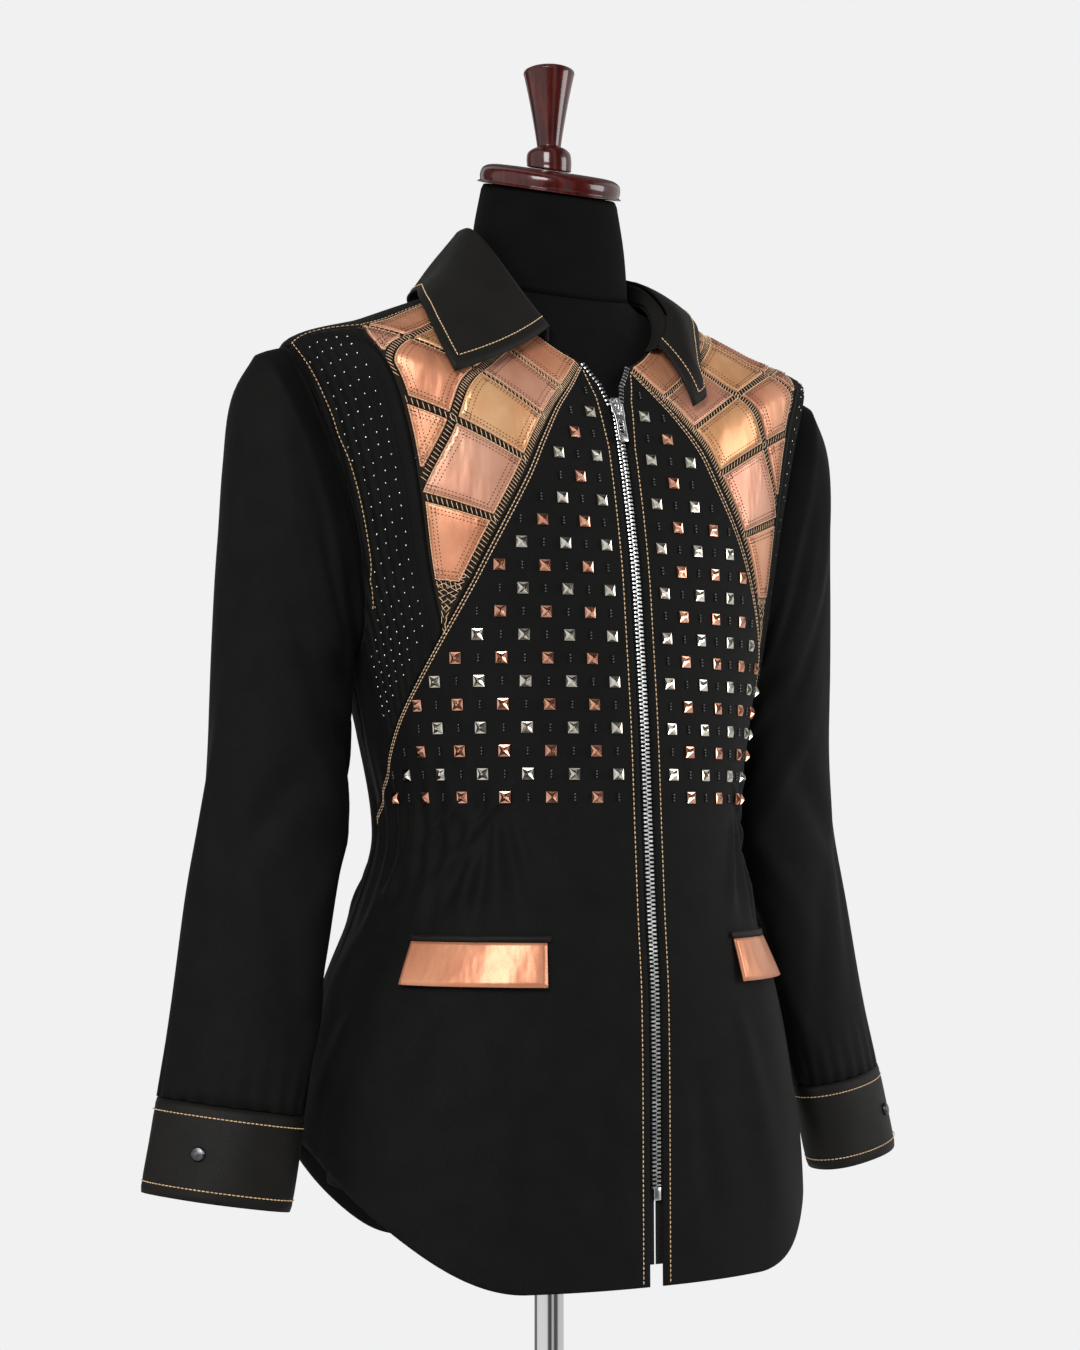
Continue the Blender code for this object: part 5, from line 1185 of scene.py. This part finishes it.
# share down the sleeve, degrees round it (0 outside, 90 in front), half length, half width, depth, slant
FOLDS = (
    (0.12, 100.0, 0.10, 16.0, -0.0042, 14.0), (0.20, 62.0, 0.13, 12.0, 0.0030, 10.0),
    (0.30, 128.0, 0.12, 15.0, -0.0050, -18.0), (0.38, 80.0, 0.10, 13.0, -0.0036, 24.0),
    (0.46, 30.0, 0.11, 14.0, 0.0030, -12.0), (0.52, 150.0, 0.08, 17.0, -0.0048, 30.0),
    (0.57, 108.0, 0.07, 13.0, 0.0036, 34.0), (0.63, 70.0, 0.08, 15.0, -0.0040, -26.0),
    (0.70, 130.0, 0.09, 14.0, 0.0034, -22.0), (0.76, 40.0, 0.10, 12.0, -0.0030, 16.0),
    (0.83, 95.0, 0.09, 15.0, -0.0034, 20.0), (0.90, 140.0, 0.07, 13.0, 0.0028, -14.0),
    (0.16, 205.0, 0.12, 18.0, -0.0042, -16.0), (0.34, 240.0, 0.13, 16.0, -0.0040, 20.0),
    (0.50, 215.0, 0.10, 14.0, 0.0034, -24.0), (0.58, 265.0, 0.09, 17.0, -0.0044, 28.0),
    (0.72, 230.0, 0.11, 15.0, -0.0036, -18.0), (0.86, 280.0, 0.09, 14.0, 0.0030, 14.0),
    (0.26, 320.0, 0.12, 15.0, -0.0030, 12.0), (0.64, 335.0, 0.11, 14.0, -0.0034, -20.0),
    (0.44, 185.0, 0.07, 12.0, -0.0036, 36.0), (0.79, 175.0, 0.07, 12.0, -0.0030, -30.0),
)


def sleeve_folds(share, angle):
    """Soft troughs and ridges of a worn sleeve: long and slanting, tighter at the elbow."""
    total = np.zeros(np.broadcast(share, angle).shape)
    for at, round_at, long, wide, deep, slant in FOLDS:
        along = (share - at) / long
        across = (np.mod(angle - round_at - slant * along + 180, 360) - 180) / wide
        total = total + deep * np.exp(-along**2 - across**2)
    return total


def build_sleeve(side, word):
    """A sleeve, from the armhole to the cuff."""
    rings = smooth_table(SLEEVE_RINGS, 7)
    angle = 360.0 * np.arange(SLEEVE_SIDES) / SLEEVE_SIDES
    start = trunk(*armhole(angle, 0.00048))
    rows = [start]
    first, _ = ring_points(rings[0], SLEEVE_SIDES)
    for t in (0.3, 0.6, 0.85):
        bulge = 0.0012 * math.sin(math.pi * t)
        rows.append(start * (1 - t) + first * t + np.array((bulge, 0, bulge * 0.5)))
    for number, ring in enumerate(rings):
        share = number / (len(rings) - 1)
        calm = min(share / 0.05, 1.0) * min((1 - share) / 0.04, 1.0)
        out = sleeve_folds(share, angle) * calm
        puckers = 0.0008 * np.sin(np.radians(angle) * 21 + 2) * math.exp(-((1 - share) / 0.05) ** 2)
        rows.append(ring_points(ring, SLEEVE_SIDES, np.minimum(out + puckers, 0.0045))[0])
    ring_grid("sleeve_cloth_" + word, rows, BLACK, "sleeve_" + word, side)


def build_cuff(side, word):
    """A cuff, drawn in a little along its two stitched lines."""
    rings = smooth_table(CUFF_RINGS, 8)
    rows, lines = [], []
    angle = 360.0 * np.arange(SLEEVE_SIDES) / SLEEVE_SIDES
    for number, ring in enumerate(rings):
        share = number / (len(rings) - 1)
        near = min(abs(share - 0.13), abs(share - 0.86))
        out = -0.0003 * math.exp(-((near / 0.035) ** 2)) + 0.0005 * np.sin(np.radians(angle) * 5 + 3 * share)
        out = out - 0.0010 * (math.exp(-((share / 0.05) ** 2)) + math.exp(-(((1 - share) / 0.05) ** 2)))
        rows.append(ring_points(ring, SLEEVE_SIDES, out)[0])
    ring_grid("cuff_cloth_" + word, rows, COLLAR_BLACK, "cuff_" + word, side, CUFF_WALL)
    for share in (0.13, 0.86):
        ring = rings[int(round(share * (len(rings) - 1)))]
        spots, facing = ring_points(ring, 160, 0.0003)
        lines.append((np.concatenate((spots, spots[:1])), np.concatenate((facing, facing[:1]))))
    stitches("cuff_stitching_" + word, lines, TAN, side=side, step=0.0030, length=0.0026)


# ---------------------------------------------------------------- collar
def neck_point(angle, height, out=0.0):
    at = base(angle, NECK_LEVEL)
    flat = unit(at * np.array((1.0, 1.0, 0.0)))
    return at + flat * (out - STAND_LEAN * height) + np.array((0.0, 0.0, height))


def collar_values(tables, angle):
    """The columns of a collar table at an angle, from the table of that side."""
    rows = tables[1 if angle < 180 else -1]
    return [float(table(rows, 180 - abs(180 - angle), column)) for column in range(1, len(rows[0]))]


def leaf_point(angle, share):
    """A point of the leaf: 0 at the fold, 1 at its free edge."""
    height, out = collar_values(FOLD, angle)
    edge_angle, edge_level, lift = collar_values(LEAF_EDGE, angle)
    if angle >= 180:
        edge_angle = 360 - edge_angle
    start = neck_point(angle, height + CLOTH * 0.6, out + CLOTH * 0.8)
    mean_angle, mean_level = (angle + edge_angle) / 2, (NECK_LEVEL + edge_level) / 2
    middle = base(mean_angle, mean_level) + normal(mean_angle, mean_level) * LEAF_BOW
    end = base(edge_angle, edge_level) + normal(edge_angle, edge_level) * (lift + CLOTH)
    return start * (1 - share) ** 2 + middle * (2 * share * (1 - share)) + end * share**2


def build_collar():
    angles = np.linspace(COLLAR_END_ANGLE, 360.0 - COLLAR_END_ANGLE, 150)
    stand = []
    for share in np.linspace(1, 0, 9):
        row = []
        for angle in angles:
            height, out = collar_values(FOLD, angle)
            foot = SEAM_GAP * 2 + CLOTH * out / math.hypot(out, height)
            row.append(neck_point(angle, foot + (height - SEAM_GAP * 2 - foot) * share, out * share))
        stand.append(row)
    ring_grid("collar_stand_cloth", stand, COLLAR_BLACK, "collar_stand", closed=False)
    leaf = np.array([[leaf_point(a, s) for a in angles] for s in np.linspace(0, 1, 26)])
    along = np.gradient(leaf, axis=1)
    down = np.gradient(leaf, axis=0)
    out = unit(np.cross(down, along))
    if (out[13, 75] @ (leaf[13, 75] - np.array((0, 0, 1.45)))) < 0:
        out = -out
    share = np.linspace(0, 1, 26)[:, None]
    turn = np.radians(angles)[None]
    ripple = 0.0007 * np.sin(7 * turn + 4 * share) + 0.0005 * np.sin(13 * turn - 2 * share + 1)
    leaf = leaf + out * (ripple * np.sin(np.pi * share) ** 0.6)[..., None]
    ring_grid("collar_leaf_cloth", leaf, COLLAR_BLACK, "collar_leaf", closed=False)
    inset = 0.0070
    reach = np.linalg.norm(np.diff(leaf, axis=0), axis=2).sum(axis=0)
    share_in = 1 - inset / reach
    span = np.arange(len(angles))
    skipped = int(np.searchsorted(np.cumsum(np.linalg.norm(np.diff(leaf[20], axis=0), axis=1)), inset))
    index = share_in * 25
    low = np.clip(index.astype(int), 0, 24)
    part = (index - low)[:, None]
    line = leaf[low, span] * (1 - part) + leaf[low + 1, span] * part
    ways = out[low, span]
    first, last = skipped + 1, len(angles) - 1 - skipped
    proud = CLOTH + 0.0003
    lines = [(line[first:last] + ways[first:last] * proud, ways[first:last])]
    for column in (first, last - 1):
        down_to = low[column] + 1
        lines.append((leaf[:down_to, column] + out[:down_to, column] * proud, out[:down_to, column]))
    stitches("collar_stitching", lines, TAN, step=0.0032, length=0.0028)


# ---------------------------------------------------------------- zip
def tape_line(level, shift):
    return front_edge(level, FRONT_EDGE_X + shift)


def opening_line():
    """The line of teeth beside the opening above the zip, as angle and level."""
    start = (float(front_edge(ZIP_TOP_LEVEL)), ZIP_TOP_LEVEL)
    return np.array((start, OPENING_CORNER, (14.0, NECK_LEVEL))) + np.array((-0.5, 0.0))


def build_zip():
    for side, word in ((-1, "right"), (1, "left")):
        levels = np.linspace(TAPE_LOW_LEVEL, ZIP_TOP_LEVEL, 210)
        outer_side = np.concatenate((np.stack((tape_line(levels, 0.0080), levels), -1), ((21.5, 1.5),)))
        inner_side = np.concatenate((np.stack((tape_line(levels, -0.0047), levels), -1),
                                     (OPENING_CORNER, (14.0, 1.5))))
        outline = joined(inner_side, outer_side[::-1])
        panel("tape_cloth_" + word, outline, TAPE_BLACK, "zip_tape_" + word, side, TAPE,
              lambda a, v: np.full(np.shape(a), -CLOTH - 0.0008), (0.0016, 0.0040))
    fine = np.linspace(*TOOTH_LEVELS, 700)
    reach = np.concatenate(([0], np.cumsum(np.linalg.norm(np.diff(base(0.0, fine), axis=0), axis=1))))
    heights = np.interp(np.arange(0, reach[-1], TOOTH_STEP), reach, fine)
    block = [(x * 0.5, y * 0.5, z * 0.5) for z in (-1, 1) for x, y in CORNERS]
    block += [(x * 0.30, y * 0.5, 0.72) for x, y in CORNERS]
    faces = [[3, 2, 1, 0], [0, 1, 5, 4], [1, 2, 6, 5], [2, 3, 7, 6], [3, 0, 4, 7],
             [4, 5, 9, 8], [5, 6, 10, 9], [6, 7, 11, 10], [7, 4, 8, 11], [8, 9, 10, 11]]
    shape = np.array(block) * TOOTH_SIZE
    opening = opening_line()
    edge = []
    for (a0, v0), (a1, v1) in zip(opening, opening[1:]):
        a, v = np.linspace(a0, a1, 60), np.linspace(v0, v1, 60)
        edge.append((trunk(a, v, -0.0006), normal(a, v)))
    more, along, facing = resample(*(np.concatenate(part) for part in zip(*edge)), 2 * TOOTH_STEP)
    for side, word, odd in ((-1, "right", 0), (1, "left", 1)):
        levels = heights[odd::2]
        outs = normal(0.0, levels)
        spots = base(0.0, levels) + outs * -0.0008
        spots[:, 0] = 0.0016
        ways = np.stack([up_way(o) for o in outs])
        spots, ways, outs = (np.concatenate(pair) for pair in ((spots, more), (ways, along), (outs, facing)))
        copies("zip_teeth_" + word, spots, ways, outs, shape, faces, TEETH, side, flat=True)


def finer_copy(node, material, width, body=GARMENT):
    """A copy of a small hard node with rounded edges, in its place."""
    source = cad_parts[node]
    mesh = source.data.copy()
    piece = bpy.data.objects.new(node + "_finish", mesh)
    bpy.context.scene.collection.objects.link(piece)
    tidy = bmesh.new()
    tidy.from_mesh(mesh)
    bmesh.ops.remove_doubles(tidy, verts=tidy.verts, dist=1e-6)
    bmesh.ops.dissolve_limit(tidy, angle_limit=math.radians(1.5), verts=tidy.verts, edges=tidy.edges)
    tidy.to_mesh(mesh)
    tidy.free()
    mesh.shade_smooth()
    mesh.materials.clear()
    mesh.materials.append(material)
    edge = piece.modifiers.new("edge", "BEVEL")
    edge.width = width
    edge.segments = 2
    edge.limit_method = "ANGLE"
    edge.angle_limit = math.radians(35)
    return put(piece, node, body)


# ---------------------------------------------------------------- form and stand
FORM_INSETS = (
    (0.800, 0.030), (0.900, 0.022), (0.990, 0.010), (1.057, 0.0075), (1.130, 0.008), (1.220, 0.0080),
    (1.300, 0.0085), (1.370, 0.0080), (1.430, 0.0060), (1.500, 0.0056),
)
NECK_BASE = (1.4670, 0.287, 0.0590, 0.0600, 0.0600)
NECK_MIDDLE = (1.5030, 0.250, 0.0575, 0.0535, 0.0578)
NECK_TOP = (CAP_CENTRE, math.tan(CAP_TILT), 0.0505, 0.0505, 0.0505)


def oval_ring(ring, sides, shrink=0.0, drop=0.0):
    """A level oval whose height slopes from front to back."""
    height, slope, wide, deep_front, deep_back = ring
    turn = 2 * np.pi * np.arange(sides) / sides
    x = (wide - shrink) * np.sin(turn)
    y = -np.cos(turn) * (np.where(np.cos(turn) > 0, deep_front, deep_back) - shrink)
    return np.stack((x, y, height - drop + slope * y), -1)


def skin(name, rows, material, node):
    """A skin through rows of points, closed at both ends."""
    rows = np.asarray(rows)
    down, across = rows.shape[:2]
    index = np.arange(down * across).reshape(down, across)
    right = np.roll(index, -1, axis=1)
    faces = np.stack((index[:-1], right[:-1], right[1:], index[1:]), -1).reshape(-1, 4).tolist()
    faces += [index[0][::-1].tolist(), index[-1].tolist()]
    return put(mesh_object(name, rows.reshape(-1, 3), faces, material), node)


def build_form():
    angles = np.arange(0, 360, 4.0)
    rows = []
    for level in np.linspace(FORM_BOTTOM, NECK_LEVEL, 40):
        inset = float(table(FORM_INSETS, level))
        row = base(angles, level) - normal(angles, level) * inset
        if level == FORM_BOTTOM:
            row[:, 2] = FORM_BOTTOM
        rows.append(row)
    rows.append(oval_ring(NECK_BASE, len(angles), 0.0002, 0.0003))
    skin("form_body_jersey", rows, JERSEY, "form_trunk")
    rows = [oval_ring(r, len(angles)) for r in smooth_table((NECK_BASE, NECK_MIDDLE, NECK_TOP), 8)[:-1]]
    for shrink, drop in ((0.0, 0.0030), (0.0006, 0.0014), (0.0018, 0.0004), (0.0040, 0.0001)):
        rows.append(oval_ring(NECK_TOP, len(angles), shrink, drop))
    skin("form_neck_jersey", rows, JERSEY, "form_neck")


def turned(name, profile, material, node, place, sides=96, parts=5, foot_slope=0.0, slope_height=0.0):
    """A turned piece: a smooth profile of (radius, height) about its own axis."""
    profile = np.asarray(profile, float)
    fine = smooth_table(profile, parts)
    fine[:, 0] = np.maximum(fine[:, 0], 0.0)
    turn = 2 * np.pi * np.arange(sides) / sides
    rows = []
    for radius, height in fine:
        fade = min(max(1 - height / slope_height, 0.0), 1.0) if slope_height else 0.0
        spots = np.stack((radius * np.sin(turn), -radius * np.cos(turn), np.full(sides, height)), -1)
        spots[:, 2] += spots[:, 1] * foot_slope * fade
        rows.append([tuple(place @ Vector(p)) for p in spots])
    return skin(name, rows, material, node)


def build_stand():
    tilt = Matrix.Translation((0, 0, CAP_CENTRE + 0.0003)) @ Matrix.Rotation(CAP_TILT, 4, "X")
    cap = [(max(r, 0.0004), z) for r, z in CAP_PROFILE]
    turned("neck_cap_wood", cap, WOOD, "neck_cap", tilt, parts=6)
    foot = CAP_CENTRE + 0.0006 + CAP_PROFILE[-1][1] / math.cos(CAP_TILT)
    profile = [(0.0004, 0.0)] + [(max(r, 0.0004), z) for r, z in FINIAL_PROFILE]
    turned("finial_wood", profile, WOOD, "finial", Matrix.Translation((0, 0, foot)), parts=5,
           foot_slope=math.tan(CAP_TILT), slope_height=FINIAL_WAIST)
    pole = [(0.0004, 0.0163), (0.0110, 0.0163), (0.0110, 0.0165), (0.0110, 0.30), (0.0110, 0.55),
            (0.0110, 0.7990), (0.0108, 0.7994), (0.0004, 0.7996)]
    turned("pole_chrome", pole, CHROME, "pole", Matrix.Identity(4), parts=1, sides=64)
    base_profile = [(0.0004, 0.0), (0.1990, 0.0), (0.1998, 0.0010), (0.2000, 0.0040), (0.1992, 0.0075),
                    (0.1960, 0.0100), (0.1700, 0.0120), (0.0900, 0.0140), (0.0300, 0.0150), (0.0180, 0.0158),
                    (0.0004, 0.0160)]
    turned("stand_foot_chrome", base_profile, CHROME, "stand_base", Matrix.Identity(4), parts=1, sides=128)


# ---------------------------------------------------------------- put together
for SIDE, WORD in ((-1, "right"), (1, "left")):
    dress_front(SIDE, WORD)
    dress_pocket(SIDE, WORD)
    dress_tucks(SIDE, WORD)
    dress_lattice(SIDE, WORD)
    build_sleeve(SIDE, WORD)
    build_cuff(SIDE, WORD)
    finer_copy("cuff_snap_" + WORD, GUNMETAL, 0.0003)
build_back()
build_yoke()
build_collar()
build_zip()
finer_copy("zip_slider", NICKEL, 0.0003)
finer_copy("zip_pull_tab", NICKEL, 0.00025, TAB)
finer_copy("zip_stop", NICKEL, 0.0003)
build_form()
build_stand()


# ---------------------------------------------------------------- floor, light and camera
def build_floor():
    n = Nodes("pale_floor")
    tone = n.ramp(n.noise(3.0, 2.0), "Fac", ((0.3, (0.80, 0.80, 0.80)), (0.7, (0.84, 0.84, 0.84))))
    n.link(tone, "Color", n.shader, "Base Color")
    n.set(Roughness=0.75)
    sides = 96
    turn = 2 * np.pi * np.arange(sides) / sides
    rows = [[(r * math.sin(t), -r * math.cos(t), 0.0) for t in turn] for r in (0.5, 1.0, 1.8)]
    points = [(0, 0, 0)] + [p for row in rows for p in row]
    faces = [(0, 1 + k, 1 + (k + 1) % sides) for k in range(sides)]
    for r in range(2):
        for k in range(sides):
            a, b = 1 + r * sides + k, 1 + r * sides + (k + 1) % sides
            faces.append((a, a + sides, b + sides, b))
    floor = mesh_object("floor", points, [f[::-1] for f in faces], n.material)
    floor.location.z = -0.0005


def lamp(name, place, target, size, energy):
    """A square soft light that faces its target."""
    data = bpy.data.lights.new(name, "AREA")
    data.energy = energy
    data.shape = "RECTANGLE"
    data.size = size
    data.size_y = size
    light = bpy.data.objects.new(name, data)
    light.location = place
    light.rotation_euler = (Vector(target) - Vector(place)).to_track_quat("-Z", "Y").to_euler()
    bpy.context.scene.collection.objects.link(light)
    return light


CAMERA_TURN = math.radians(-30.0)
CAMERA_AWAY = 2.0
CAMERA_HEIGHT = 1.06
SENSOR = 36.0               # millimetres
PHOTO_WIDTH = 1080.0
PHOTO_HEIGHT = 1350.0
FOCAL_PIXELS = 2650.0
AXIS_PIXEL = 549.0
HORIZON_PIXEL = 830.0
# along X, from one side of the studio to the other: how bright the room is
LIGHT_BANDS = (
    (0.0, 0.75), (0.14, 0.70), (0.22, 0.10), (0.38, 0.06), (0.46, 0.50), (0.54, 0.42), (0.62, 0.07),
    (0.80, 0.10), (0.88, 0.55), (1.0, 0.60),
)


def build_camera():
    data = bpy.data.cameras.new("photo")
    data.sensor_fit = "VERTICAL"
    data.sensor_height = SENSOR
    data.sensor_width = SENSOR
    data.lens = SENSOR * FOCAL_PIXELS / PHOTO_HEIGHT
    data.shift_y = (HORIZON_PIXEL - PHOTO_HEIGHT / 2) / PHOTO_HEIGHT
    data.shift_x = -(AXIS_PIXEL - PHOTO_WIDTH / 2) / PHOTO_HEIGHT
    camera = bpy.data.objects.new("photo", data)
    camera.location = (CAMERA_AWAY * math.sin(CAMERA_TURN), -CAMERA_AWAY * math.cos(CAMERA_TURN),
                       CAMERA_HEIGHT)
    camera.rotation_euler = (math.pi / 2, 0, CAMERA_TURN)
    bpy.context.scene.collection.objects.link(camera)
    bpy.context.scene.camera = camera


def build_world():
    world = bpy.data.worlds.new("studio")
    world.use_nodes = True
    tree = world.node_tree
    seen = tree.nodes["Background"]
    seen.inputs["Color"].default_value = (0.88, 0.88, 0.885, 1)
    way = tree.nodes.new("ShaderNodeTexCoord")
    parts = tree.nodes.new("ShaderNodeSeparateXYZ")
    share = tree.nodes.new("ShaderNodeMapRange")
    share.inputs["From Min"].default_value = -1.0
    bands = tree.nodes.new("ShaderNodeValToRGB")
    ramp = bands.color_ramp
    ramp.interpolation = "EASE"
    ramp.elements[0].color = (*grey(LIGHT_BANDS[0][1]), 1)
    ramp.elements[1].color = (*grey(LIGHT_BANDS[-1][1]), 1)
    for at, value in LIGHT_BANDS[1:-1]:
        ramp.elements.new(at).color = (*grey(value), 1)
    dim = tree.nodes.new("ShaderNodeBackground")
    tree.links.new(way.outputs["Generated"], parts.inputs["Vector"])
    tree.links.new(parts.outputs["X"], share.inputs["Value"])
    tree.links.new(share.outputs["Result"], bands.inputs["Fac"])
    tree.links.new(bands.outputs["Color"], dim.inputs["Color"])
    path = tree.nodes.new("ShaderNodeLightPath")
    mix = tree.nodes.new("ShaderNodeMixShader")
    tree.links.new(path.outputs["Is Camera Ray"], mix.inputs["Fac"])
    tree.links.new(dim.outputs["Background"], mix.inputs[1])
    tree.links.new(seen.outputs["Background"], mix.inputs[2])
    tree.links.new(mix.outputs["Shader"], tree.nodes["World Output"].inputs["Surface"])
    bpy.context.scene.world = world


bpy.context.scene.view_settings.view_transform = "Standard"
build_floor()
build_world()
lamp("key", (-2.4, -2.6, 2.9), (0, 0, 1.2), 1.6, 95)
lamp("fill", (2.6, -1.9, 1.9), (0, 0, 1.2), 1.6, 40)
lamp("rim", (0.6, 2.6, 2.6), (0, 0, 1.3), 1.8, 26).visible_glossy = False
build_camera()
